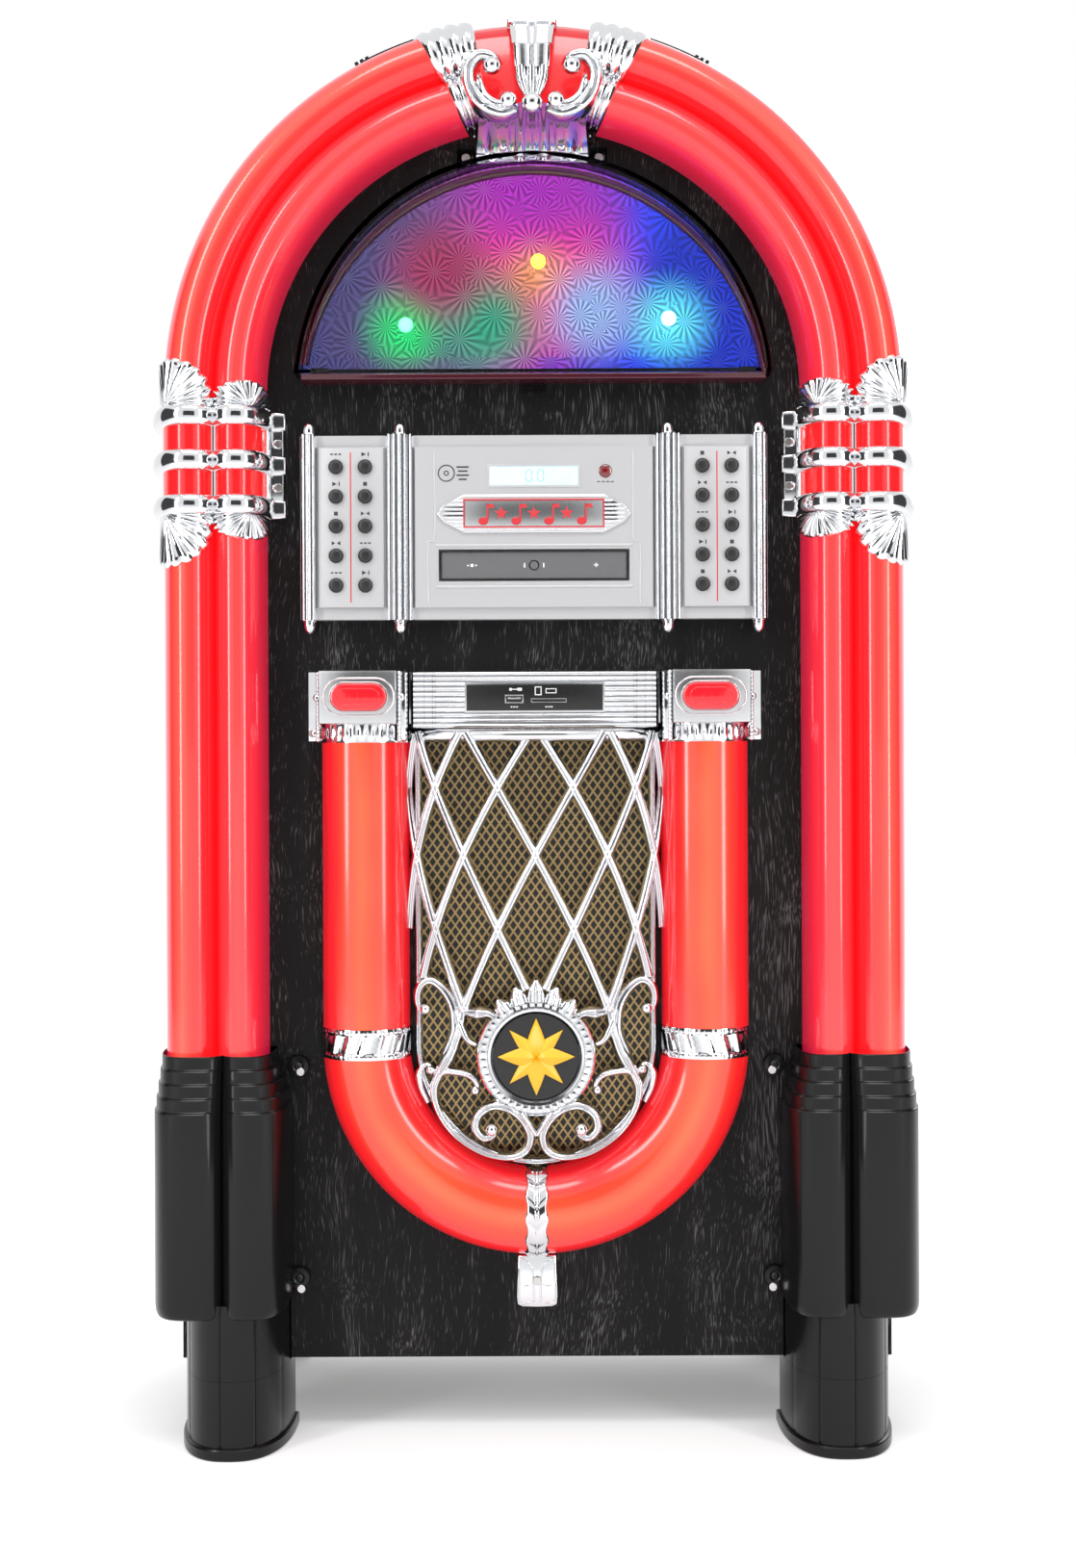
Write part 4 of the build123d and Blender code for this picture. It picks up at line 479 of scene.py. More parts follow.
foil_fx, ins, outs = group("foil_fx", {"Stars": 42.0, "Rays": 14.0}, {"Spark": "Float"})
flat = add(foil_fx, "Mapping", {"Vector": object_coords(foil_fx), "Scale": (1.0, 0.0, 1.0)}).outputs[0]
cells = add(foil_fx, "TexVoronoi", {"Vector": flat, "Scale": ins["Stars"]}).outputs
from_star = add(foil_fx, "VectorMath", {0: flat, 1: cells["Position"]}, operation="SUBTRACT").outputs[0]
away = split(foil_fx, from_star)
angle = calc(foil_fx, "ARCTAN2", away[2], away[0])
tint = add(foil_fx, "SeparateColor", {0: cells["Color"]}).outputs[0]
wedge = calc(foil_fx, "MULTIPLY", calc(foil_fx, "MULTIPLY_ADD", tint, 6.0, angle), ins["Rays"])
fade = remap(foil_fx, cells["Distance"], 0.0, 0.75, 1.0, 0.35)
fill(foil_fx, outs, {"Spark": calc(foil_fx, "MULTIPLY", calc(foil_fx, "SINE", wedge), fade)})
print("groups", [tree.name for tree in bpy.data.node_groups])

# %% [markdown]
# ### Chrome, plastics and metals
# Vacuum-metallised plastic is smooth but never optically flat: the moulding's waviness bends its
# reflections, so it gets a low roughness and a slow bump.  Satin silver paint is the same metal
# with its reflections spread out.


# %% Plain finishes
def plain(name, colour, metallic, roughness, scale=60.0, spread=0.1, bumpy=0.1, **more):
    """Finish whose roughness and normal come from the shared surface effect."""
    made, tree, shader = finish(name, colour, metallic, roughness, **more)
    skin = use(tree, surface_fx, {"Scale": scale, "Roughness": roughness, "Spread": spread, "Bump": bumpy})
    fill(tree, shader, {"Roughness": skin["Roughness"], "Normal": skin["Normal"]})
    return made


CHROME = plain("chrome", (0.74, 0.75, 0.77), 1.0, 0.10, 45.0, 0.05, 0.12)
SATIN = plain("chrome_satin", (0.60, 0.61, 0.62), 1.0, 0.26, 90.0, 0.06, 0.05)
SILVER = plain("silver_plastic", (0.50, 0.50, 0.51), 0.35, 0.42, 400.0, 0.1, 0.05)
TRAY_SILVER = plain("silver_tray", (0.30, 0.30, 0.31), 0.8, 0.33, 500.0, 0.1, 0.05)
BLACK = plain("black_plastic", (0.005, 0.005, 0.0055), 0.0, 0.24, 30.0, 0.08, 0.06, Specular_IOR_Level=0.28)
STEEL_BLACK = plain("steel_black", (0.03, 0.03, 0.032), 0.6, 0.5, 500.0, 0.15, 0.15)
STEEL = plain("screw_steel", (0.62, 0.61, 0.60), 1.0, 0.28, 200.0)
DRIVE = plain("drive_metal", (0.48, 0.49, 0.50), 1.0, 0.38, 150.0, 0.15)
BOARD = plain("circuit_board", (0.02, 0.12, 0.05), 0.0, 0.4, 300.0, 0.2, 0.2)
PAPER = plain("paper_cone", (0.018, 0.018, 0.018), 0.0, 0.85, 500.0, 0.1, 0.5)
HARDBOARD = plain("back_board", (0.055, 0.045, 0.038), 0.0, 0.75, 350.0, 0.15, 0.3)
RUBBER = plain("button_black", (0.013, 0.013, 0.014), 0.0, 0.38, 200.0, 0.1, 0.05)
SWITCH_RED = plain("switch_red", (0.62, 0.012, 0.02), 0.0, 0.16, 60.0, 0.06, 0.05, Coat_Weight=0.6,
                   Emission_Color=(0.6, 0.01, 0.015, 1), Emission_Strength=0.22)
STAR = plain("star_yellow", (0.86, 0.46, 0.02), 0.0, 0.3, 200.0, 0.05, 0.03)
INK = plain("ink_dark", (0.03, 0.03, 0.035), 0.0, 0.5, 200.0, 0.05, 0.0)
INK_RED = plain("ink_red", (0.55, 0.03, 0.04), 0.0, 0.4, 200.0, 0.05, 0.0)
INK_WHITE = plain("ink_white", (0.75, 0.75, 0.76), 0.0, 0.5, 200.0, 0.05, 0.0)
SENSOR = plain("sensor_red", (0.16, 0.004, 0.006), 0.0, 0.08, 60.0, 0.02, 0.0, Coat_Weight=1.0)
LABEL = plain("label_black", (0.012, 0.012, 0.013), 0.0, 0.28, 200.0, 0.05, 0.0)
HOOD = plain("clear_hood", (0.93, 0.93, 0.96), 0.0, 0.03, 20.0, 0.02, 0.03, Transmission_Weight=1.0, IOR=1.12)
HOOD_RIM = plain("hood_rim", (0.055, 0.006, 0.014), 0.0, 0.16, 60.0, 0.06, 0.05, Coat_Weight=0.6)

# %% [markdown]
# ### Black-stained veneer
# Open-pored veneer stained black: pores show as short grey dashes, because wax fills them, over a
# nearly black ground that turns brown where the stain is thin.

# %% Veneer
VENEER, tree, shader = finish("black_veneer", (0.01, 0.01, 0.01), Specular_IOR_Level=0.18)
grain = use(tree, grain_fx, {"Pore": 0.85})
ground = ramp(tree, grain["Cloud"], [(0.35, (0.0022, 0.0022, 0.0026)), (0.7, (0.006, 0.0052, 0.0048))])
fill(tree, shader, {"Base Color": mix(tree, grain["Pores"], ground, (0.085, 0.085, 0.09, 1)),
                    "Normal": grain["Normal"]})

# %% [markdown]
# ### Lit lenses
# The lamps sit behind the middle of each lobe, so light leaves a lobe's crest paler and its edges
# deeper and bluer, where it crosses more plastic.  A ramp over the across coordinate says that
# directly; the surface itself is a glossy skin that mirrors the softboxes.


# %% Lens finishes
def lit(name, strength, blotch, size, stops, patches=None):
    """Glossy red skin that glows by a ramp across the moulding, times a ramp over its patches."""
    made, tree, shader = finish(name, (0.35, 0.01, 0.015), 0.0, 0.18, Coat_Weight=0.35, Coat_Roughness=0.06,
                                Emission_Strength=strength)
    glow = use(tree, glow_fx, {"Blotch": blotch, "Size": size})
    colour = ramp(tree, glow["Across"], stops)
    if patches:
        colour = mix(tree, 1.0, colour, ramp(tree, glow["Patch"], patches), "MULTIPLY")
    skin = use(tree, surface_fx, {"Scale": 16.0, "Roughness": 0.16, "Spread": 0.05, "Bump": 0.05})
    fill(tree, shader, {"Emission Color": colour, "Normal": skin["Normal"]})
    return made


LENS = lit("red_lens", 0.80, 0.02, 4.0, [
    (0.0, (0.42, 0.010, 0.045)), (0.10, (0.80, 0.020, 0.045)), (0.24, (1.0, 0.085, 0.075)),
    (0.36, (1.0, 0.035, 0.04)), (0.47, (0.82, 0.004, 0.006)), (0.56, (0.90, 0.008, 0.010)),
    (0.66, (1.0, 0.060, 0.045)), (0.80, (1.0, 0.135, 0.075)), (0.90, (0.95, 0.045, 0.045)),
    (0.97, (0.60, 0.012, 0.060))])
TUBE = lit("orange_lens", 0.84, 0.16, 9.0, [
    (0.02, (0.50, 0.006, 0.012)), (0.16, (0.86, 0.018, 0.012)), (0.34, (1.0, 0.115, 0.03)),
    (0.52, (1.0, 0.19, 0.045)), (0.70, (1.0, 0.095, 0.028)), (0.86, (0.86, 0.015, 0.014)),
    (0.98, (0.46, 0.006, 0.014))], [(0.3, (1.0, 0.72, 0.72)), (0.7, (1.0, 1.0, 1.0))])
# Crown lens: an even red glow, made darker towards its outer edge and the side that turns back; that darkening
# is painted shade.
CROWN_LENS = lit("crown_lens", 0.74, 0.05, 8.0, [
    (0.0, (0.85, 0.012, 0.02)), (0.55, (0.92, 0.012, 0.014)), (0.8, (0.6, 0.006, 0.01)),
    (1.0, (0.35, 0.004, 0.008))])
WINDOW_RED = lit("window_red", 0.8, 0.1, 20.0, [(0.0, (0.78, 0.008, 0.006)), (1.0, (0.86, 0.012, 0.008))])


# %% Lamps and display
def lamp_finish(name, colour, strength):
    """Glowing lamp with a slightly uneven face."""
    made, tree, shader = finish(name, colour, 0.0, 0.2, Emission_Strength=strength)
    patch = use(tree, glow_fx, {"Blotch": 0.1, "Size": 90.0})["Patch"]
    dim = tuple(0.8 * part for part in colour)
    fill(tree, shader, {"Emission Color": ramp(tree, patch, [(0.3, dim), (0.7, colour)])})
    return made


LCD = lamp_finish("display_blue", (0.42, 0.62, 0.86), 0.75)
LCD_INK = lamp_finish("display_digit", (0.20, 0.36, 0.80), 0.6)
LAMP_WARM = lamp_finish("lamp_yellow", (1.0, 0.55, 0.03), 6.0)
LAMP_GREEN = lamp_finish("lamp_green", (0.1, 1.0, 0.25), 4.0)
LAMP_CYAN = lamp_finish("lamp_cyan", (0.35, 0.9, 1.0), 5.0)

# %% [markdown]
# ### Expanded metal mesh
# The sheet's diamonds are far smaller than any other detail, so they are drawn by the finish:
# two sets of slanted stripes, folded to 0 at a strand's middle, and their smaller value.

# %% Mesh
DIAMOND_WIDE, DIAMOND_TALL = 3.3 * MM, 4.7 * MM
MESH, tree, shader = finish("gold_mesh", (0.40, 0.28, 0.12), 0.9, 0.35)
place = split(tree, object_coords(tree))
across = calc(tree, "MULTIPLY", place[0], 1 / DIAMOND_WIDE)
strands = [calc(tree, "PINGPONG", calc(tree, "MULTIPLY_ADD", place[2], lean / DIAMOND_TALL, across), 1.0)
           for lean in (1.0, -1.0)]
strand = remap(tree, calc(tree, "MINIMUM", *strands), 0.18, 0.34, 1.0, 0.0)
bump = add(tree, "Bump", {"Strength": 0.7, "Distance": 0.0008, "Height": strand})
fill(tree, shader, {"Base Color": mix(tree, strand, (0.008, 0.007, 0.006, 1), (0.46, 0.33, 0.15, 1)),
                    "Metallic": strand, "Normal": bump.outputs[0]})

# %% [markdown]
# ### Diffraction foil
# The foil is lit by three lamps in front of it.  Each lamp's own colour fades with the distance
# from it, the ground hue drifts from grey-violet over magenta to deep blue across the half disc,
# and the stamped stars only change how bright each sliver is.

# %% Foil
FOIL_HALF = 0.175                       # metres from the middle to the foil's side
GLOWS = (                               # x and z of a glow, its reach in metres and its colour
    (0.004, 0.862, 0.050, (1.0, 0.05, 0.12)), (0.004, 0.862, 0.018, (1.0, 0.35, 0.03)),
    (-0.093, 0.816, 0.024, (0.02, 0.65, 0.16)), (0.099, 0.820, 0.024, (0.12, 0.75, 0.95)),
    (0.0, 0.93, 0.055, (0.36, 0.02, 0.42)), (-0.035, 0.82, 0.034, (0.03, 0.32, 0.18)),
    (0.045, 0.83, 0.030, (0.28, 0.42, 0.75)), (-0.07, 0.86, 0.030, (0.32, 0.03, 0.09)))
FOIL, tree, shader = finish("holographic", (0.02, 0.02, 0.04), 0.5, 0.3, Emission_Strength=1.0)
coords = object_coords(tree)
spark = use(tree, foil_fx, {"Stars": 46.0, "Rays": 15.0})["Spark"]
sideways = remap(tree, split(tree, coords)[0], -FOIL_HALF, FOIL_HALF)
drift = calc(tree, "MULTIPLY_ADD", noise(tree, coords, 14.0, 2.0).outputs[0], 0.34, sideways)
colour = ramp(tree, drift, [(0.12, (0.02, 0.03, 0.16)), (0.30, (0.07, 0.06, 0.16)), (0.46, (0.13, 0.07, 0.19)),
                            (0.64, (0.34, 0.02, 0.38)), (0.76, (0.05, 0.03, 0.52)), (0.88, (0.02, 0.05, 0.75)),
                            (1.0, (0.01, 0.03, 0.45))])
for x, z, reach, tone in GLOWS:
    away = add(tree, "VectorMath", {0: coords, 1: (x, 0.0, z)}, operation="SUBTRACT").outputs[0]
    level = add(tree, "VectorMath", {0: away, 1: (1.0, 0.0, 1.0)}, operation="MULTIPLY").outputs[0]
    far = add(tree, "VectorMath", {0: level}, operation="LENGTH").outputs["Value"]
    near = remap(tree, far, 0.0, reach * 2, 1.0, 0.0, "SMOOTHERSTEP")
    colour = mix(tree, near, colour, (*tone, 1))
gain = remap(tree, spark, -1.0, 1.0, 0.12, 2.1)
lit_up = add(tree, "VectorMath", {0: colour, "Scale": gain}, operation="SCALE").outputs[0]
sparkle = remap(tree, spark, 0.72, 0.95, 0.0, 0.35)
fill(tree, shader, {"Emission Color": mix(tree, sparkle, lit_up, (0.55, 0.75, 0.95, 1))})
print("finishes", len(bpy.data.materials))

# %% [markdown]
# ## The lit lenses
# A lens is one section carried along a path: straight up from the sleeve, then round the arch.
# The section is two round lobes side by side; the outer lobe wraps past the cabinet's corner.
# Its skin and its inside are the same curve, offset by the wall, so the moulding is a real shell.


# %% Outer lens
def lobes(inner, outer, crease, crest, back, power=2.3, lap=3.0, count=64):
    """Skin of two lobes side by side as (across, proud) points, from the outer foot to the inner one.

    Each lobe is half a superellipse, |a|^power + |b|^power = 1; a higher power has a flatter front.
    They overlap by lap on each side of the crease, which sets how deep the crease is.
    """
    turn = np.linspace(0, math.pi, 240)
    wide = np.sign(np.cos(turn)) * np.abs(np.cos(turn)) ** (2 / power)
    bulb = np.stack([wide, np.sin(turn) ** (2 / power)], 1)
    first = [(outer + crease - lap) / 2, 2.0] + bulb * [(outer - crease + lap) / 2, crest - 2.0]
    second = [(inner + crease + lap) / 2, 2.0] + bulb * [(crease + lap - inner) / 2, crest - 3.0]
    first = np.concatenate([[[outer, -back]], first[first[:, 0] >= crease]])
    second = np.concatenate([second[second[:, 0] < crease], [[inner, 0.4]]])
    return np.concatenate([even(first, count * 5 // 8), even(second, count * 3 // 8)])


def offset(curve, thickness):
    """Curve moved to its left by thickness, with the direction smoothed over its neighbours."""
    ahead = unit(np.gradient(curve, axis=0))
    return curve + thickness * np.stack([-ahead[:, 1], ahead[:, 0]], 1)


def bent(section, angles, foot):
    """Section (across, proud) carried up from height foot and round the arch to each angle in degrees."""
    out, depth = section[None, :, 0], FACE - section[None, :, 1]
    rise = np.linspace(foot, ARCH, 12)[:-1, None]
    turn = np.radians(angles)[:, None]
    straight = np.stack(np.broadcast_arrays(out, depth, rise), -1)
    arch = np.stack(np.broadcast_arrays(out * np.cos(turn), depth, ARCH + out * np.sin(turn)), -1)
    return np.concatenate([straight, arch]) if foot < ARCH else arch


def across_of(section):
    """How far across the moulding each section point is, 0 at the inner foot and 1 at the outer."""
    return np.clip((section[:, 0] - LENS_INNER) / LENS_BAND, 0, 1)


def laid(across, count, middle, run=(0, 1)):
    """The lay values of a lidded sweep with count rings: across, and run along it, with both lids."""
    along = np.repeat(np.linspace(*run, count), len(across))
    rings = np.stack([np.tile(across, count), along], 1)
    return np.concatenate([[[middle, 0]] * len(across), rings, [[middle, 1]] * len(across)])


LENS_CREASE = LENS_OUTER - 0.53 * LENS_BAND
skin = lobes(LENS_INNER, LENS_OUTER, LENS_CREASE, LENS_CREST, 30.0)
LENS_WALL = 3.0
closed = np.concatenate([skin, offset(skin, LENS_WALL)[::-1]])
LENS_FOOT = span("outer_lens_right")[0][2]
LENS_END = 78.5                         # degrees from the side, where the crown's strap covers the end
points = bent(closed, np.linspace(0, LENS_END, 46), LENS_FOOT)
across = across_of(closed)
for side in ("right", "left"):
    piece(f"lens_{side}", on_side(side, [lidded(points)]), LENS, replaces=[f"outer_lens_{side}"],
          lay=laid(across, len(points), across.mean()))

# %% [markdown]
# ### The U-shaped tube
# The tube is a half round carried down one side and round the bottom to the clasp.  It bulges
# a little between its bands, as a blown tube does.


# %% U tube
def tube_path(steps=40):
    """Centre line and outward direction from the top down and round to the clasp, as (x, z) arrays."""
    low, high = span("inner_lens_right")
    straight = np.linspace(high[2], TUBE_Z, 14)[:-1]
    turn = np.radians(np.linspace(0, -90 + math.degrees(low[0] / TUBE_X), steps))
    round_out = np.stack([np.cos(turn), np.sin(turn)], 1)
    line = np.concatenate([np.stack([np.full(len(straight), TUBE_X), straight], 1),
                           [0, TUBE_Z] + TUBE_X * round_out])
    return line, np.concatenate([np.tile([1.0, 0.0], (len(straight), 1)), round_out])


def around_tube(line, out, section):
    """Section (away from the bend's centre, proud) set at each point of the tube's line."""
    across = line[:, None] + section[None, :, :1] * out[:, None, :]
    depth = np.broadcast_to(FACE - section[:, 1], across.shape[:2])
    return np.stack([across[..., 0], depth, across[..., 1]], -1)


turn = np.linspace(0, math.pi, 40)
half_round = np.stack([TUBE_R * np.cos(turn), 0.4 + (TUBE_R - 0.4) * np.sin(turn) ** 0.92], 1)
closed = np.concatenate([half_round, half_round[::-1] * [0.9, 0.9] + [0, 0.02]])
points = around_tube(*tube_path(), closed)
for side in ("right", "left"):
    piece(f"tube_{side}", on_side(side, [lidded(points)]), TUBE, replaces=[f"inner_lens_{side}"],
          lay=laid((closed[:, 0] / TUBE_R + 1) / 2, len(points), 0.5))

# %% [markdown]
# ## Chrome clamps
# Everything on a clamp follows the lens, so it is drawn in the lens's own unrolled skin: s is the
# length round the two lobes from the outer foot, and lift is the distance off that skin.  A band
# is then a straight bar, and a shell-shaped fan is a flat half disc, before both are wrapped.

# %% Unrolled lens skin
SKIN_RUN = runs(skin)
SKIN_LENGTH = SKIN_RUN[-1]
SKIN_OUT = np.gradient(skin, axis=0)[:, ::-1] * [1, -1]
for _ in range(3):                      # soften the normal where the lobes meet
    SKIN_OUT[1:-1] = (SKIN_OUT[:-2] + SKIN_OUT[1:-1] + SKIN_OUT[2:]) / 3
SKIN_OUT /= np.linalg.norm(SKIN_OUT, axis=1)[:, None]
CREASE = SKIN_RUN[np.argmin(np.abs(skin[:, 0] - LENS_CREASE))]


def off_skin(s, lift):
    """Distance from the lens's axis, and y, at length s round the skin and lift off it."""
    out, proud, out_way, proud_way = (np.interp(s, SKIN_RUN, column) for column in (*skin.T, *SKIN_OUT.T))
    return out + out_way * lift, FACE - proud - proud_way * lift


def wrapped(s, z, lift):
    """Points at length s round the skin, height z and lift off it, on the right-hand upright lens."""
    s, z, lift = np.broadcast_arrays(np.asarray(s, float), z, lift)
    return np.stack([*off_skin(s, lift), z], -1)


def rolled(s, angle, lift):
    """The same on the arch, at an angle in degrees from the horizontal."""
    s, angle, lift = np.broadcast_arrays(np.asarray(s, float), angle, lift)
    (radius, depth), turn = off_skin(s, lift), np.radians(angle)
    return np.stack([radius * np.cos(turn), depth, ARCH + radius * np.sin(turn)], -1)


# %% [markdown]
# A clamp is made of four ideas: bars that wrap the lens, fans that fan out above and below them,
# uprights that join the bars, and flat lugs with screws beside the lens.

# %% Bars, fans and screw heads
CLAMP_MID = sum(corner[2] for corner in span("clamp_right")) / 2
PITCH, BAND = 32.3, 15.0                # between the three bands, and their height


def wrap_bar(middle, height, s_range, lift_at, steps=70):
    """Bar round the lens: a rounded section whose lift grows by lift_at(share of the run)."""
    share = np.linspace(0, 1, steps)
    s = s_range[0] + share * (s_range[1] - s_range[0])
    turn = np.linspace(0, math.pi, 14)
    section = np.stack([-np.cos(turn) * height / 2, np.sin(turn) ** 0.7], 1)
    section = np.concatenate([section, [[height / 2, -0.02], [-height / 2, -0.02]]])
    lift = 0.4 + np.asarray(lift_at(share))[:, None] * np.clip(section[None, :, 1], 0, 1)
    return lidded(wrapped(s[:, None], middle + section[None, :, 0], lift))


def fan(s_middle, s_half, base, rise, flutes, thick=3.6, rings=16, steps=120):
    """Scallop shell: radial flutes from a point on the band, with a rim of one small arc per flute."""
    share = np.linspace(0.02, 1, rings)[:, None]
    turn = np.linspace(0, math.pi, steps)[None, :]
    wave = np.abs(np.sin(flutes * turn))
    rim = 1 + 0.055 * wave - 0.055
    s = s_middle - s_half * rim * share * np.cos(turn)
    z = base + rise * rim * share * np.sin(turn) ** 0.85
    lift = 0.5 + thick * (0.35 + 0.65 * wave * share ** 0.5) * np.minimum(1, 6 * (1 - share) ** 0.6 + 0.25)
    front, back = wrapped(s, z, lift), wrapped(s, z, 0.3)
    return lidded(np.concatenate([front, back[::-1]], axis=1))


def round_head(centre, radius, height=2.0):
    """Low dome of a screw's head standing on the face side of centre, with its drive dimple."""
    shape = [(0.0, 0.55 * height), (0.3 * radius, 0.55 * height), (0.34 * radius, height),
             (0.7 * radius, 0.85 * height), (radius, 0.3 * height), (radius, -0.6)]
    return lathe(shape, centre)


# %% Clamps
s_outer, s_inner = 10.0, SKIN_LENGTH - 3.0
outer_mid, inner_mid = (CREASE + 14) / 2 + 4, (CREASE + SKIN_LENGTH) / 2 - 2
shells = []
for step in (-1, 0, 1):
    shells.append(wrap_bar(CLAMP_MID + step * PITCH, BAND, (s_outer - 8, s_inner),
                           lambda share: 5.6 + 5.6 * np.exp(-((share - 0.08) / 0.16) ** 2)))
    low, high = CLAMP_MID + step * PITCH - BAND / 2, CLAMP_MID + step * PITCH + BAND / 2
    shells.append(prism([(LENS_INNER + 3, low), (LENS_INNER + 3, high), (LENS_INNER - 14, high - 1),
                         (LENS_INNER - 14, low + 1)], 0.2, 5.0, 1.6))
reach = PITCH + BAND / 2
turn = np.linspace(0, math.pi, 9)
for s_middle, half, lift in ((CREASE, 6.5, 3.2), (s_outer + 6, 9.0, 2.6), (SKIN_LENGTH - 4, 4.0, 2.0)):
    across = s_middle - half * np.cos(turn)
    ring = np.concatenate([wrapped(across, 0, 0.6 + lift * np.sin(turn) ** 0.6), wrapped(across[::-1], 0, 0.2)])
    heights = np.linspace(CLAMP_MID - reach, CLAMP_MID + reach, 8)
    shells.append(lidded(np.array([ring + [0, 0, z] for z in heights])))
shells.append(prism([(LENS_INNER + 2, CLAMP_MID - reach + 3), (LENS_INNER + 2, CLAMP_MID + reach - 3),
                     (LENS_INNER - 12, CLAMP_MID + reach - 5), (LENS_INNER - 12, CLAMP_MID - reach + 5)],
                    0.0, 2.4, 0.8))
for s_middle, half, up, down in ((outer_mid, 40.0, 36.0, 40.0), (inner_mid, 33.0, 20.0, 20.0)):
    shells.append(fan(s_middle, half, CLAMP_MID + reach - 2, up, 13))
    shells.append(fan(s_middle, half, CLAMP_MID - reach + 2, -down, 13))
shells += [round_head((LENS_INNER - 6.5, FACE - 2.6, CLAMP_MID + way * PITCH / 2), 3.1) for way in (-1, 1)]
windows = [lidded(np.array([np.concatenate([wrapped(np.linspace(*edges, 20), z, 1.0),
                                            wrapped(np.linspace(*edges[::-1], 20), z, 0.1)])
                            for z in np.linspace(CLAMP_MID - reach + 3, CLAMP_MID + reach - 3, 6)]))
           for edges in ((s_outer + 12, CREASE - 5), (CREASE + 5, SKIN_LENGTH - 6))]
for side in ("right", "left"):
    piece(f"clamp_{side}_chrome", on_side(side, shells), CHROME, replaces=[f"clamp_{side}"],
          smooth=50)
    piece(f"clamp_{side}_windows", on_side(side, windows), WINDOW_RED)

# %% [markdown]
# ## Crown ornament
# The crown is one casting, but it reads as separate ideas: two fluted straps rolled over the arch,
# a stepped tab between them, two scrolls with a ball where they meet, and a fluted skirt.  Scrolls
# are drawn as soft curves through a few points and swept with a tapering, rounded section.


# %% Curves
def smooth_curve(points, steps=60):
    """Catmull-Rom curve through points, evenly spaced along its length."""
    points = np.asarray(points, float)
    held = np.concatenate([[2 * points[0] - points[1]], points, [2 * points[-1] - points[-2]]])
    t = np.linspace(0, len(points) - 1, steps * 4)
    at = np.minimum(t.astype(int), len(points) - 2)
    u = (t - at)[:, None]
    a, b, c, d = (held[at + shift] for shift in range(4))
    square, cube = 2 * a - 5 * b + 4 * c - d, 3 * b - a - 3 * c + d
    return even(0.5 * (2 * b + (c - a) * u + square * u ** 2 + cube * u ** 3), steps)


def scroll(points, proud, width, height, taper=(1, 1), ridges=1, steps=60):
    """Moulded bar along a curve of (x, z) points; proud and taper are values spread evenly along it."""
    flat, share = smooth_curve(points, steps), np.linspace(0, 1, steps)
    proud, scale = (np.interp(share, np.linspace(0, 1, len(values)), values)
                    for values in (np.atleast_1d(proud), taper))
    path = np.stack([flat[:, 0], FACE - proud, flat[:, 1]], 1)
    return sweep(path, ridge(width, height, ridges, foot=1.5, count=12 * ridges + 8), scale)


def ball(centre, radius, squash=1.0):
    """Sphere by its profile: radius times (sin t, cos t)."""
    t = np.linspace(0.04, math.pi - 0.04, 16)
    shape = np.stack([radius * np.sin(t), squash * radius * np.cos(t)], 1)
    return lidded(lathe(shape, centre, steps=28)[0].reshape(len(t), 28, 3))


# %% Crown
def strap(turn_low, turn_high, flutes=4):
    """Fluted strap over the arch: it is wide at the rim and closes to a narrow foot."""
    s = np.linspace(2, SKIN_LENGTH - 6, 60)[:, None]
    share = np.linspace(0, 1, 49)[None, :]
    inward = s / SKIN_LENGTH
    middle = turn_low * (1 - inward ** 1.5) + turn_high * inward ** 1.5
    half = 5.6 * (1 - inward) + 2.4 * inward
    angle = 90 - (middle + half * (2 * share - 1))
    lift = 1.0 + 3.4 * (0.45 + 0.55 * np.abs(np.sin(math.pi * flutes * share))) * np.sin(math.pi * share) ** 0.3
    top, under = rolled(s, angle, lift), rolled(s, angle, 0.4)
    return lidded(np.concatenate([top, under[:, ::-1]], axis=1))


CROWN_HIGH = span("crown_ornament")[1][2]
UNDER = ARCH + LENS_INNER               # inner edge of the lens at the top
rail_turn = np.linspace(18.5, 27.5, 14)[:, None]
loop = np.array([[4, 0.5], [4, 3.4], [30, 3.6], [44, 2.6], [44, 0.5]])
rolled_shells = [strap(14.4, 11.2), lidded(rolled(loop[None, :, 0], 90 - rail_turn, loop[None, :, 1]))]
edge = np.array([[0, 0.5], [0, 5.6], [22, 6.0], [40, 5.0], [40, 0.5]])
for at in (26.2, 27.1, 28.0):           # ribs of the block at the rail's end, in degrees
    turn = np.array([-0.32, -0.26, 0.26, 0.32])[:, None] + at
    raised = np.where(np.abs(turn - at) > 0.3, 0.6, 1.0) * edge[None, :, 1]
    rolled_shells.append(lidded(rolled(edge[None, :, 0], 90 - turn, raised)))
hook = scroll([(-12, UNDER + 0.5), (-22, UNDER - 2.5), (-35, UNDER + 2.5), (-43.5, UNDER + 13.5),
               (-45.5, UNDER + 28), (-39, UNDER + 38.5), (-29, UNDER + 38), (-24.5, UNDER + 31.5)],
              LENS_CREST + 1, 13.5, 11.0, (0.75, 1.0, 1.0, 0.92, 0.8, 0.62), 2)
knob = ball((-28.5, FACE - LENS_CREST - 5, UNDER + 31.5), 6.6)
rope = scroll([(-12, UNDER + 6), (-24, UNDER + 5), (-33, UNDER + 11), (-37, UNDER + 22)],
              LENS_CREST + 1, 5.0, 8.0, (0.8, 1.0, 0.7), 1)
bead = ball((-17, FACE - LENS_CREST - 8, UNDER + 5.5), 6.4)
shells = both_sides([hook, knob, rope, bead]) + both_sides(rolled_shells)
shells.append(ball((0, FACE - LENS_CREST - 9, UNDER + 3.5), 8.0))

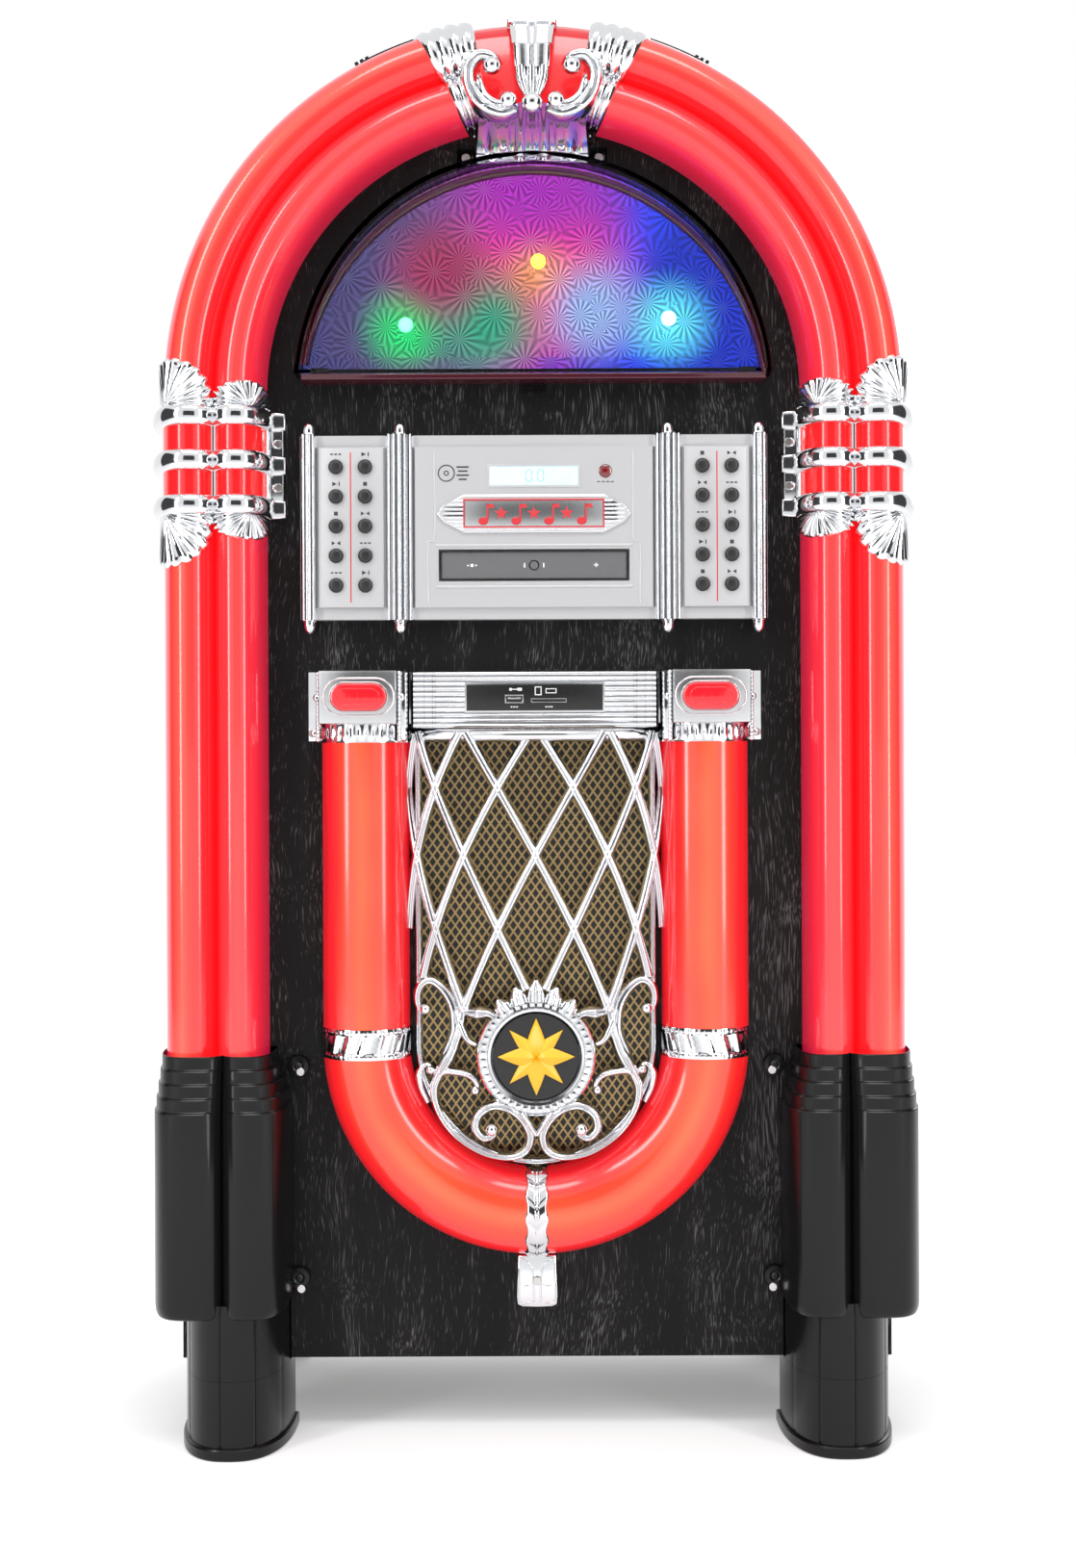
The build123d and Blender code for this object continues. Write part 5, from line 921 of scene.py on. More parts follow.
# Tab: two convex halves side by side, three steps high, leaning back over the lens.
share = np.linspace(-1, 1, 33)
rows = [(UNDER + 30, 12.6, LENS_CREST + 5), (UNDER + 46, 13.6, LENS_CREST + 5),
        (UNDER + 46.6, 14.6, LENS_CREST + 7), (UNDER + 62, 15.8, LENS_CREST + 2),
        (UNDER + 62.6, 16.6, LENS_CREST + 4), (UNDER + 72, 17.2, 26.0),
        (UNDER + 72.6, 18.0, 24.0), (CROWN_HIGH - 0.4, 18.6, 2.0), (CROWN_HIGH - 0.2, 18.6, -16.0)]
face_rows = [np.stack([half * share, FACE - proud - 3.0 * np.abs(np.sin(math.pi * share)) ** 0.6,
                       np.full(33, height)], 1) for height, half, proud in rows]
back_rows = [row + [0, 4.0, -3.4 if at > 5 else -0.4] for at, row in enumerate(face_rows)]
rings = [np.concatenate([near, far[::-1]]) for near, far in zip(face_rows, back_rows)]
shells.append(lidded(np.array(rings)))
for x in (-8.6, 0.0, 8.6):              # petals that fall from the tab to the ball
    shells.append(scroll([(x, UNDER + 31), (x * 0.9, UNDER + 22), (x * 0.45, UNDER + 10)],
                         LENS_CREST + 2, 9.0, 6.5, (1.0, 1.0, 0.6)))

# Skirt: a fluted apron whose lower edge is a row of small waves.
fluted = np.linspace(-1, 1, 121)
skirt = []
for share in np.linspace(0, 1, 14):
    half = 37.5 + 4.0 * share
    drop = UNDER + 2 - (23 + 3.5 * np.abs(np.sin(2.5 * math.pi * fluted)) ** 0.7) * share
    wave = np.abs(np.cos(math.pi * 4.5 * fluted)) * np.exp(-(fluted * 1.5) ** 2)
    proud = (LENS_CREST + 3) * (1 - share) ** 1.6 + 7 + 4.5 * wave * (1 - 0.4 * share)
    skirt.append(np.stack([half * fluted, FACE - proud, drop], 1))
behind = [row + [0, 3.5, 0] for row in skirt]
shells.append(lidded(np.array([np.concatenate([near, far[::-1]]) for near, far in zip(skirt, behind)])))
shells += [round_head((x, FACE - 11.5, UNDER - 16.5), 3.4, 2.4) for x in (-21.5, 21.5)]
piece("crown_chrome", shells, CHROME, replaces=["crown_ornament"], smooth=50)

# %% [markdown]
# The crown's own lens is one flat-fronted arch between the straps, lower than the lobes by a
# quarter of their width.

# %% Crown lens
CROWN_LENS_CREST = LENS_CREST - LENS_BAND / 4
outline = np.array([[LENS_OUTER, -30], [LENS_OUTER, 4], [LENS_OUTER - 2, 12], [LENS_OUTER - 7, 19],
                    [LENS_OUTER - 14, CROWN_LENS_CREST], [LENS_INNER + 3, CROWN_LENS_CREST],
                    [LENS_INNER, CROWN_LENS_CREST - 3], [LENS_INNER, 0.4], [LENS_INNER + 3, 0.4],
                    [LENS_INNER + 3, CROWN_LENS_CREST - 4], [LENS_OUTER - 15, CROWN_LENS_CREST - 3],
                    [LENS_OUTER - 4, 4], [LENS_OUTER - 4, -30]])
points = bent(outline, np.linspace(78.9, 101.1, 24), ARCH)
piece("crown_lens_shown", [lidded(points)], CROWN_LENS, replaces=["crown_lens"],
      lay=laid(across_of(outline), len(points), 0.5, (0, 0)))

# %% [markdown]
# ## Grille
# The lattice is bowed like a barrel, so its crossings sit on a cylinder: equal steps round it, seen
# from the front, close up towards the sides.  Each bar is one sweep with a double ridge.  The
# scrolls below it are mirrored curves that run into one another, as in a single casting.

# %% Lattice
GRILLE_TOP = span("grille_lattice")[1][2]
BOW, BOW_STEP, ROW_TOP = 26.0, 0.3, 478.0    # the bow's depth, its turn in one step, and its highest row
RIM = 86.0                              # from the middle to the rim


def lattice_point(turn, row):
    """Place (x, proud, z) at a number of steps round the bow and rows down, whole or not."""
    turn, row = np.broadcast_arrays(np.asarray(turn, float), row)
    return np.stack([93.2 * np.sin(BOW_STEP * turn), BOW * np.cos(BOW_STEP * turn),
                     ROW_TOP - 46.9 * row - 2.3 * row ** 2], -1)


double_ridge = ridge(7.6, 5.4, 2, foot=1.0, count=26)
shells = []
for start, first, last in ((-6, 1.0, 4.0), (-4, 0.1, 3.75), (-2, 0.1, 4.0), (0, 0.1, 3.62), (2, 0.1, 3.0),
                           (4, 0.1, 1.0)):
    t = np.linspace(first, last, 40)
    at = lattice_point(start + t, t - 1)
    path = np.stack([at[:, 0], FACE - at[:, 1], at[:, 2]], 1)
    bar_shell = sweep(path, double_ridge)
    shells += [bar_shell, mirrored(bar_shell)]

# Rim: down both sides and round the bottom, with the deeper bar across the top.
turn = np.linspace(0, math.pi / 2, 40)
edge = np.concatenate([[[RIM, 6, z] for z in np.linspace(GRILLE_TOP - 2, TUBE_Z, 24)[:-1]],
                       np.stack([RIM * np.cos(turn), 6 + 8 * np.sin(turn) ** 2,
                                 TUBE_Z - RIM * np.sin(turn)], 1)])
path = np.stack([edge[:, 0], FACE - edge[:, 1], edge[:, 2]], 1)
rim_bar = sweep(path, ridge(5.6, 7.0, 2, foot=5.0, count=24))
across = np.linspace(-0.97, 0.97, 50)
top_line = np.stack([RIM * across, FACE - BOW * np.cos(across * 1.45) - 1, np.full(50, GRILLE_TOP - 5)], 1)
top_bar = sweep(top_line, ridge(9.5, 6.0, 1, foot=2.0))
shells += [rim_bar, mirrored(rim_bar), top_bar]
piece("lattice", shells, CHROME, replaces=["grille_lattice"], smooth=60)

# %% [markdown]
# Each scroll is a curve through chosen points, with how far it stands out, its width and height,
# its taper and its ridges.  Their heights are counted from the medallion's middle, M.

# %% Scrolls
M = sum(corner[2] for corner in span("medallion")) / 2
shells = []
curves = (
    # main stem: from the V of the bars down the side, along the rim and up into the lower volute
    ([(-53.5, M + 34), (-56, M + 20), (-62, M + 2), (-71, M - 14), (-75, M - 28), (-70, M - 45), (-57, M - 61),
      (-38, M - 72), (-20, M - 74.5), (-8, M - 69), (-4.5, M - 58), (-10, M - 46), (-20, M - 38), (-32, M - 36),
      (-42, M - 42), (-44, M - 52), (-38, M - 59), (-31, M - 56), (-31.5, M - 51)],
     (17, 18, 16, 12, 12, 13, 14, 16, 21, 24, 25, 26, 26, 26), 8.5, 6.5,
     (0.85, 1.2, 0.8, 0.75, 0.8, 0.9, 0.95, 0.7), 2, 150),
    # side scroll: up from the stem, over and down to a small curl by the tube
    ([(-71, M - 12), (-64, M + 4), (-59, M + 18), (-60, M + 34), (-67, M + 47), (-77, M + 54), (-84.5, M + 50),
      (-87, M + 40), (-84, M + 31), (-80, M + 33)],
     (12, 14, 16, 16, 14, 11, 9, 9), 8.5, 6.5, (0.7, 1.1, 1.2, 1.0, 0.8, 0.6), 2, 90),
    # small volute from the stem towards the medallion
    ([(-74, M - 22), (-68, M - 13), (-58, M - 12.5), (-48, M - 15), (-43, M - 22), (-45, M - 27)],
     (13, 16, 20, 22), 6.5, 5.5, (0.6, 1.0, 0.9, 0.6), 1, 50),
    # lower side curl
    ([(-80, M - 36), (-85, M - 25), (-86, M - 14), (-80, M - 8), (-76, M - 13)], (8, 9, 9), 6.0, 5.0,
     (0.8, 1.0, 0.6), 1, 40),
    # leaf from the V to the medallion's rim
    ([(-53.5, M + 32), (-44, M + 31), (-35, M + 31), (-29, M + 28)], (18, 22, 27), 8.0, 6.0,
     (0.7, 1.3, 0.6), 2, 30),
    ([(-56, M + 24), (-50, M + 12), (-43, M + 8)], (18, 21, 26), 6.5, 5.0, (1.0, 0.9, 0.5), 1, 30),
    # foot of the medallion
    ([(-11, M - 40), (-5, M - 49), (-0.3, M - 57)], (28, 27, 26), 5.0, 4.5, (1.0, 1.0, 0.8), 1, 24),
)
for values in curves:
    shells += both_sides([scroll(*values)])
for place, radius in (((-32.5, 31, M - 52.5), 4.6), ((-81, 15, M + 33), 4.0), ((-44.5, 25, M - 25), 3.2),
                      ((-77.5, 13, M - 12), 3.2), ((-53.5, 21, M + 34.5), 4.2)):
    shells += both_sides([ball((place[0], FACE - place[1], place[2]), radius)])
for lean, size in ((-34, 0.8), (-17, 1.0), (0, 1.25), (17, 1.0), (34, 0.8)):    # crest of five petals
    a = math.radians(lean)
    along = [(far * math.sin(a), M + far * math.cos(a))
             for far in (40.0, 40.0 + 6.25 * size, 40.0 + 12.5 * size)]
    shells.append(scroll(along, 28.5, 12.5, 5.0, (1.0, 1.0, 0.25), 2, 20))
piece("scrolls", shells, CHROME, smooth=60)

# %% [markdown]
# The medallion's ring is turned, and its studs are small wedges round it.  The star is two
# four-pointed roofs, one on the other and an eighth of a turn apart.

# %% Medallion
BEADS = 44
profile = [(0, 26.0), (31.8, 26.0), (31.8, 29.0), (33.2, 31.5), (35.0, 31.8), (35.8, 30.4), (41.2, 28.6),
           (42.0, 30.0), (43.0, 29.0), (43.0, 20.0), (38.0, 16.0), (0, 16.0)]
shells = [lathe(profile, (0, FACE, M), steps=96)]
for k in range(BEADS):
    a = 2 * math.pi * (k + 0.5) / BEADS
    radial, along = np.array([math.cos(a), math.sin(a)]), np.array([-math.sin(a), math.cos(a)])
    corners = [radial * r + along * w for r, w in ((36.6, -1.75), (40.6, -1.95), (40.6, 1.95), (36.6, 1.75))]
    shells.append(prism([(x, M + z) for x, z in corners], 28.0, 31.4, 0.8))
piece("medallion_ring", shells, CHROME, replaces=["medallion"], smooth=40)
piece("medallion_disc", [lathe([(0, 28.6), (31.2, 28.6), (31.7, 27.6), (31.7, 26.2)], (0, FACE, M), steps=64)],
      LABEL)


def star_shell(points, tip, valley, high, low, spin):
    """Star of pointed roofs: every spoke falls straight from the middle's height to the rim's."""
    turn = np.linspace(0, 2 * math.pi, points * 16, endpoint=False)
    share = np.abs(((turn / (2 * math.pi) * points) % 1) * 2 - 1)       # 1 on a tip, 0 in a valley
    rim = 1 / ((1 - share) / valley + share / tip)
    rows = []
    for t in np.linspace(0.02, 1, 14):
        lift = low + (high - low) * (1 - t) ** 0.75 * (0.55 + 0.45 * share ** 0.7)
        rows.append(np.stack([rim * t * np.cos(turn + spin), FACE - lift,
                              M + rim * t * np.sin(turn + spin)], 1))
    base = rows[-1].copy()
    base[:, 1] = FACE - 28.0
    return lidded(np.array(rows + [base]))


spin = math.pi / 4
piece("star", [star_shell(4, 27.9, 10.2, 35.2, 30.4, spin + spin), star_shell(4, 27.4, 8.2, 33.2, 29.8, spin)],
      STAR, smooth=25)

# %% [markdown]
# The bands carry a row of small beads at each edge and a slanted leaf pattern between them; the
# clasp's strap repeats a chevron, and its tail is a flat shield with a few raised lines.

# %% Bands on the tube
low, high = span("lens_bands")
turn = np.linspace(0, math.pi, 90)
rows = []
for share in np.linspace(-1, 1, 31):
    bead = 0.9 * np.abs(np.sin(26 * turn)) * np.exp(-((abs(share) - 0.8) / 0.13) ** 2)
    slant = np.abs(((9 * turn / math.pi) % 1) - 0.5 - 0.28 * share)
    leaf = 1.5 * np.clip(1 - slant * 3.2, 0, 1) * (abs(share) < 0.62)
    rim = 0.5 * (abs(share) > 0.62)
    radius = TUBE_R + 0.8 + bead + leaf + rim
    rows.append(np.stack([TUBE_X + radius * np.cos(turn), FACE - 0.3 - radius * np.sin(turn),
                          np.full(90, (low[2] + high[2]) / 2 + share * (high[2] - low[2]) / 2)], 1))
radius = TUBE_R + 0.2
inner = [np.stack([TUBE_X + radius * np.cos(turn[::-1]), FACE - 0.2 - radius * np.sin(turn[::-1]),
                   np.full(90, row[0, 2])], 1) for row in rows]
band = lidded(np.array([np.concatenate([a, b]) for a, b in zip(rows, inner)]))
piece("bands", [band, mirrored(band)], CHROME, replaces=["lens_bands"], smooth=60)

# %% Clasp
bottom = TUBE_Z - TUBE_X
turn = np.linspace(0.02, math.pi - 0.02, 80)
share = np.linspace(-1, 1, 25)[None, :]
along = (turn / math.pi)[:, None]
chevron = np.abs(((along * 6 + 0.45 * np.abs(share)) % 1) - 0.5) * 2
lift = 1.3 + 1.7 * chevron ** 0.6 * (1 - 0.5 * share ** 2) + 0.7 * (np.abs(share) < 0.12)
lift = lift * np.clip(1.6 - 1.5 * np.abs(share) ** 6, 0.2, 1)
half_width = 8.2 + 0.8 * np.cos(along * 6 * 2 * math.pi)
top, under = (np.stack(np.broadcast_arrays(half_width * share, FACE - radius * np.sin(turn)[:, None],
                                           bottom + radius * np.cos(turn)[:, None]), -1)
              for radius in (TUBE_R + lift, TUBE_R + 0.15))
strap_shell = lidded(np.concatenate([top, under[:, ::-1]], 1))
tail_low, tail_high = span("lens_clasp")[0][2], bottom - TUBE_R - 1
tail = [(-14.2, tail_high), (14.2, tail_high), (15.4, tail_low + 8), (14.6, tail_low + 2), (11, tail_low + 0.4),
        (0, tail_low), (-11, tail_low + 0.4), (-14.6, tail_low + 2), (-15.4, tail_low + 8)]
middle = (tail_low + tail_high) / 2
shells = [strap_shell, prism(tail, 0.1, 5.0, 1.4)]
for sign in (1, -1):
    leaf = scroll([(sign * 2.4, tail_low + 4), (sign * 2.8, middle + 2), (sign * 5, middle + 12),
                   (sign * 12, tail_high - 2)], 4.6, 1.6, 1.2, (1, 1), 1, 30)
    edge_line = scroll([(sign * 12.6, tail_high - 6), (sign * 12.8, tail_low + 5), (sign * 5, tail_low + 3.4)],
                       4.6, 1.4, 1.0, (1, 1), 1, 30)
    vein = scroll([(sign * 4, middle - 2), (sign * 8, middle - 3.4), (sign * 12, middle - 1.2)], 4.6, 1.2, 0.9,
                  (1, 0.6), 1, 16)
    shells += [leaf, edge_line, vein]
shells.append(ball((0, FACE - TUBE_R - 3.0, bottom + 2), 2.4, 0.8))
piece("clasp", shells, CHROME, replaces=["lens_clasp"], smooth=50)

# %% [markdown]
# ## Sleeves and legs
# The black mouldings echo the lens: two flat lobes with a shallow crease, four stepped rings where
# the lens slides in, and a soft lower edge.  Each height has its own outline, and the walls are
# the skins between those outlines, inside and out.


# %% Sleeves
def sleeve_ring(inset, height):
    """Closed outline of the sleeve at a height, drawn in by inset (less at the side, where it is thin)."""
    inner, outer = SLEEVE_IN + inset, SLEEVE_OUT - 0.48 * inset
    curve = lobes(inner, outer, 225.0, SLEEVE_CREST - inset, 36.0, 3.2, 5.0, 72)
    corner = HALF + 0.4
    lap = np.array([[corner, -36.0], [corner, -10.0], [corner, 0.4], [min(inner + 20, 230.0), 0.4]])
    loop = np.concatenate([curve, lap[::-1]])
    return np.stack([loop[:, 0], FACE - loop[:, 1], np.full(len(loop), height)], 1)


SLEEVE_IN, SLEEVE_OUT = LENS_INNER - 16.9, LENS_OUTER + 6.4
SLEEVE_LOW, SLEEVE_HIGH = span("sleeve_right")
SLEEVE_CREST = FACE - SLEEVE_LOW[1]
base, top, step = SLEEVE_LOW[2], SLEEVE_HIGH[2], 9.7
rows = [(11.5, top - 4), (11.5, top), (10.6, top), (10.0, top - 0.7)]
for ring in range(4):
    inset = 10.0 - 2.5 * ring
    edge = top - step * (ring + 1)
    rows += [(inset, edge + 0.9), (inset - 0.5, edge + 0.25), (inset - 1.9, edge - 0.1),
             (inset - 2.5, edge - 0.9)]
rows += [(0, (base + top) / 2), (0, base + 9), (0.7, base + 4.5), (2.6, base + 1.4), (5.0, base + 0.2),
         (7.0, base), (8.0, base + 4)]
outline = [sleeve_ring(inset, height) for inset, height in rows]
lugs = [lathe([(3.0, 5.2), (4.2, 6.0), (7.4, 5.4), (8.0, 4.0), (8.0, 0.3)], (SLEEVE_IN - 4.5, FACE, height))
        for height in (base + 17, top - 14)]
screws = [round_head((SLEEVE_IN - 4.5, FACE - 4.2, height), 3.2) for height in (base + 17, top - 14)]
shells = [grid(np.array(outline), (True, True)), *lugs]
for side in ("right", "left"):
    piece(f"sleeve_{side}_shown", on_side(side, shells), BLACK, replaces=[f"sleeve_{side}"],
          smooth=28)
    piece(f"sleeve_{side}_screws", on_side(side, screws), STEEL_BLACK)

# %% [markdown]
# A leg is half a superellipse in plan, scored by four upright grooves that stop at its base ring.
# A spigot, hidden in the sleeve, carries it up.

# %% Legs
leg_x, leg_half = (SLEEVE_IN + 2.1 + SLEEVE_OUT - 18.0) / 2, (SLEEVE_OUT - 18.0 - SLEEVE_IN - 2.1) / 2
turn = np.linspace(0, math.pi, 220)


def leg_ring(grow, height, crest=56.0):
    """Closed outline of a leg: half a superellipse, scored by four upright grooves."""
    across = np.sign(np.cos(turn)) * np.abs(np.cos(turn)) ** (2 / 2.5)
    x = leg_x + (leg_half + grow) * across
    groove = sum(np.exp(-((x - leg_x - at) / 0.8) ** 2) for at in (-34.2, -19.0, 6.0, 30.5))
    proud = -24.0 + (crest + 24.0 + grow) * np.sin(turn) ** (2 / 2.5) - 1.3 * groove * (grow == 0)
    back = np.array([[leg_x - leg_half - grow, -25.0 - grow], [leg_x + leg_half + grow, -25.0 - grow]])
    loop = np.concatenate([np.stack([x, proud], 1), back])
    return np.stack([loop[:, 0], FACE - loop[:, 1], np.full(len(loop), height)], 1)


rows = [(1.5, 0.0), (2.5, 1.0), (2.5, 7.4), (1.8, 8.4), (0.6, 8.8), (0, 9.0), (0, 56.0)]
lower = lidded(np.array([leg_ring(grow, height) for grow, height in rows]))
spigot = np.concatenate([leg_ring(0, 0)[:len(turn)].clip([0, -200, 0], [400, FACE - 0.5, 0]),
                         [[leg_x - leg_half, FACE - 0.5, 0]]])
upper = lidded(np.array([spigot + [0, 0, height] for height in (56.2, 110.0)]))
for side in ("right", "left"):
    piece(f"leg_{side}_shown", on_side(side, [lower, upper]), BLACK, replaces=[f"leg_{side}"],
          smooth=28)

# %% [markdown]
# ## Switch housings and media strip
# A housing is a chrome cap on the tube: a flat satin face round the switch, beads down its sides
# and a fluted collar that grips the tube.  The strip between them is a ribbed moulding with a
# black label for the sockets.

# %% Flat shapes
def slot_outline(width, height, x, z, steps=20):
    """Obround outline, counter-clockwise."""
    turn = np.linspace(-math.pi / 2, math.pi / 2, steps)
    arc = np.stack([np.cos(turn), np.sin(turn)], 1) * height / 2
    reach = (width - height) / 2
    return np.concatenate([arc + [reach, 0], -arc + [-reach, 0]]) + [x, z]


def tube_loop(outline, proud, section):
    """Thin moulded line that follows a closed (x, z) outline at one height off the face."""
    path = np.stack([outline[:, 0], np.full(len(outline), FACE - proud), outline[:, 1]], 1)
    return sweep(np.concatenate([path, path[:1]]), section)


def plate(x, z, width, height, back, front, edge=0.2, lean=0.0):
    """Small rectangle centred at x, z; lean shifts its top sideways."""
    w, h = width / 2, height / 2
    return prism([(x - w - lean, z - h), (x + w - lean, z - h), (x + w + lean, z + h), (x - w + lean, z + h)],
                 back, front, edge)


def frame_shells(x, z, width, height, bar, back, front):
    """Rectangular ring from four bars."""
    return [plate(x, z + (height - bar) / 2, width, bar, back, front, 0.1),
            plate(x, z - (height - bar) / 2, width, bar, back, front, 0.1),
            plate(x - (width - bar) / 2, z, bar, height - 2 * bar, back, front, 0.1),
            plate(x + (width - bar) / 2, z, bar, height - 2 * bar, back, front, 0.1)]


# %% Housings
H_LOW, H_HIGH = span("switch_housing_right")
SW_LOW, SW_HIGH = span("switch_right")
switch_x, switch_z = (SW_LOW[0] + SW_HIGH[0]) / 2, (SW_LOW[2] + SW_HIGH[2]) / 2
face_proud = FACE - H_LOW[1]
collar_top = H_LOW[2] + 13.3
block = [(switch_x - 27, collar_top), (switch_x + 29, collar_top), (switch_x + 29, H_HIGH[2]),
         (switch_x - 27, H_HIGH[2])]
turn = np.linspace(0, math.pi, 160)
collar_rows = []
for share in np.linspace(0, 1, 8):
    flute = 1.1 * np.abs(np.sin(17 * turn)) * (0.15 < share < 0.85) + 0.8 * (share > 0.85)
    radius = TUBE_R + 1.6 + flute
    collar_rows.append(np.stack([TUBE_X + radius * np.cos(turn), FACE - 0.3 - radius * np.sin(turn),
                                 np.full(160, H_LOW[2] + 13.6 * share)], 1))
radius = TUBE_R + 0.3
inside = [np.stack([TUBE_X + radius * np.cos(turn[::-1]), FACE - 0.2 - radius * np.sin(turn[::-1]),
                    np.full(160, row[0, 2])], 1) for row in collar_rows]
collar = lidded(np.array([np.concatenate([a, b]) for a, b in zip(collar_rows, inside)]))
face_shells = [prism(block, 4.0, face_proud, 2.2)]
chrome_shells = [collar, tube_loop(slot_outline(51, 27, switch_x, switch_z), face_proud, ridge(1.6, 0.9)),
                 tube_loop(slot_outline(41.5, 21, switch_x, switch_z), face_proud, ridge(1.3, 0.8))]
flange = [(H_LOW[0] + 1, H_LOW[2] + 1), (H_HIGH[0] - 0.5, H_LOW[2] + 1), (H_HIGH[0] - 0.5, H_HIGH[2]),
          (H_LOW[0] + 1, H_HIGH[2])]
chrome_shells.append(prism(flange, 0.1, 4.0, 0.8))
for height in np.linspace(H_LOW[2] + 2, H_HIGH[2] - 2, 17):     # studs down both sides
    for x, proud in ((switch_x - 29.0, face_proud - 6), (switch_x - 32.0, face_proud - 14)):
        chrome_shells.append(ball((x, FACE - proud, height), 1.75))
    chrome_shells.append(ball((switch_x + 31.5, FACE - 24, height), 1.6))
for front in (face_proud - 16, face_proud - 7):
    chrome_shells.append(prism([(switch_x - 34, H_LOW[2] + 1), (switch_x - 27, H_LOW[2] + 1),
                                (switch_x - 27, H_HIGH[2]), (switch_x - 34, H_HIGH[2])], 4.0, front, 3.0))
screw_shells = [round_head((switch_x - 30, FACE - face_proud + 7, switch_z), 3.0),
                round_head((H_HIGH[0] - 5, FACE - 4.0, H_LOW[2] + 7), 3.0),
                round_head((switch_x + 32, FACE - 26, switch_z), 2.6)]
for side in ("right", "left"):
    piece(f"housing_{side}_face", on_side(side, face_shells), SATIN,
          replaces=[f"switch_housing_{side}"])
    piece(f"housing_{side}_chrome", on_side(side, chrome_shells + screw_shells), CHROME, smooth=40)
    middle = -switch_x if side == "left" else switch_x
    pad = slot_outline(SW_HIGH[0] - SW_LOW[0] - 3.2, SW_HIGH[2] - SW_LOW[2] - 3.2, middle, switch_z)
    rim = tube_loop(slot_outline(30, 12, middle, switch_z), face_proud + 3.9, ridge(1.0, 0.5))
    marks = [plate(middle + x, switch_z, 1.4, tall, face_proud + 3.5, face_proud + 4.4)
             for x, tall in ((0, 6.0), (-6, 4.0), (6, 4.0))]
    piece(f"switch_{side}_cap", [prism(pad, face_proud - 3, face_proud + 4.0, 1.8), rim, *marks], SWITCH_RED,
          f"switch_{side}", [f"switch_{side}"])

# %% [markdown]
# The strip's ribs are one section, carried along in steps that stand out further towards its
# ends.  Its label carries generic signs for a player, a memory card and a plug.

# %% Media strip
S_LOW, S_HIGH = span("media_strip")
share = np.linspace(0, 1, 160)
rise = S_LOW[2] + share * (S_HIGH[2] - S_LOW[2])


def ribbed(x0, x1, proud, depth, ribs):
    """Block whose front is upright-stacked ribs; its section is carried from x0 to x1."""
    line = proud + depth * np.abs(np.sin(math.pi * ribs * share)) ** 0.8
    loop = np.concatenate([np.stack([rise, line], 1), [[rise[-1], 0.3], [rise[0], 0.3]]])
    rows = [np.stack([np.full(len(loop), x), FACE - loop[:, 1], loop[:, 0]], 1) for x in (x0, x1)]
    return lidded(np.array(rows))


shells = [ribbed(-73, 73, 10.5, 1.7, 11)]
for sign in (1, -1):
    for near, far, extra in ((73, 75, 1.0), (75, 81, 2.6), (81, 87, 3.4), (87, 89, 2.6)):
        shells.append(ribbed(sign * near, sign * far, 10.5 + extra, 2.0, 11))
piece("strip", shells, CHROME, replaces=["media_strip"], smooth=50)
LABEL_Z = (S_LOW[2] + S_HIGH[2]) / 2 + 1.5
piece("strip_border", [plate(0, LABEL_Z, 103, 22, 10, 13.0, 0.6)], SATIN)
piece("strip_label", [plate(0, LABEL_Z, 100, 19.2, 11, 13.4)], LABEL)


usb = frame_shells(-15, LABEL_Z - 1, 13.6, 6.2, 0.9, 12.0, 13.9)
usb.append(plate(-15, LABEL_Z - 0.4, 9.5, 1.5, 12.0, 13.6))
slot_rim = frame_shells(10.3, LABEL_Z - 2.2, 26.0, 3.0, 0.5, 12.0, 13.7)
piece("ports", usb + slot_rim, STEEL)
marks = [plate(-14, LABEL_Z + 6, 7.0, 0.7, 13.2, 13.55), plate(-11, LABEL_Z + 6, 3.4, 2.2, 13.2, 13.55),
         lathe([(0, 13.55), (1.1, 13.5), (1.2, 13.2)], (-17.6, FACE, LABEL_Z + 6), steps=14)]
marks += frame_shells(2.6, LABEL_Z + 4.8, 5.0, 6.4, 0.7, 13.2, 13.55)
marks += frame_shells(12, LABEL_Z + 4.8, 8.0, 3.6, 0.6, 13.2, 13.55)
marks += [plate(x, LABEL_Z - 6.9, 1.4, 0.9, 13.2, 13.55) for x in (-17, -15, -13, 8.5, 10.5, 12.5)]
piece("strip_marks", marks, INK_WHITE)

# %% [markdown]
# ## Control panel
# The panel is satin silver plastic.  Ribbed chrome pillars with bullet ends cover its joints, and
# everything printed on it is a generic sign: arrows, bars, a disc, notes and stars.

# %% Panel plates and pillars
P_LOW, P_HIGH = span("control_fascia")
PANEL_Z = (P_LOW[2] + P_HIGH[2]) / 2
PANEL_FRONT = FACE - P_LOW[1]
wings = [plate(x, PANEL_Z, 45.5, P_HIGH[2] - P_LOW[2] - 17.4, 11.6, PANEL_FRONT + 0.01, 0.9)
         for x in (-133.75, 133.75)]    # raised fields between the pillars
shells = []
for x, width, ribs in ((98.3, 21.5, 5), (165.0, 12.5, 3)):
    line = np.array([[x, FACE - 11.5, z] for z in np.linspace(P_LOW[2] - 0.5, P_HIGH[2] + 0.5, 6)])
    bar_shell = sweep(line, ridge(width, 9.5, ribs, foot=10.5, count=14 * ribs))
    shells += [bar_shell, mirrored(bar_shell)]
    for z, way in ((P_HIGH[2] + 2, 1), (P_LOW[2] - 2, -1)):
        bullet = lathe([(0.05, 8.6), (2.2, 7.9), (4.0, 5.6), (4.6, 2.6), (4.6, 0), (5.4, -0.5), (5.4, -2.6),
                        (0.05, -2.6)], (0, 0, 0), "z", 24)
        bullet = (bullet[0] * [1, 1, way] + [x, FACE - 9.0, z], bullet[1])
        shells += [bullet, mirrored(bullet)]
piece("pillars", shells, CHROME, replaces=["fascia_pillars"], smooth=50)

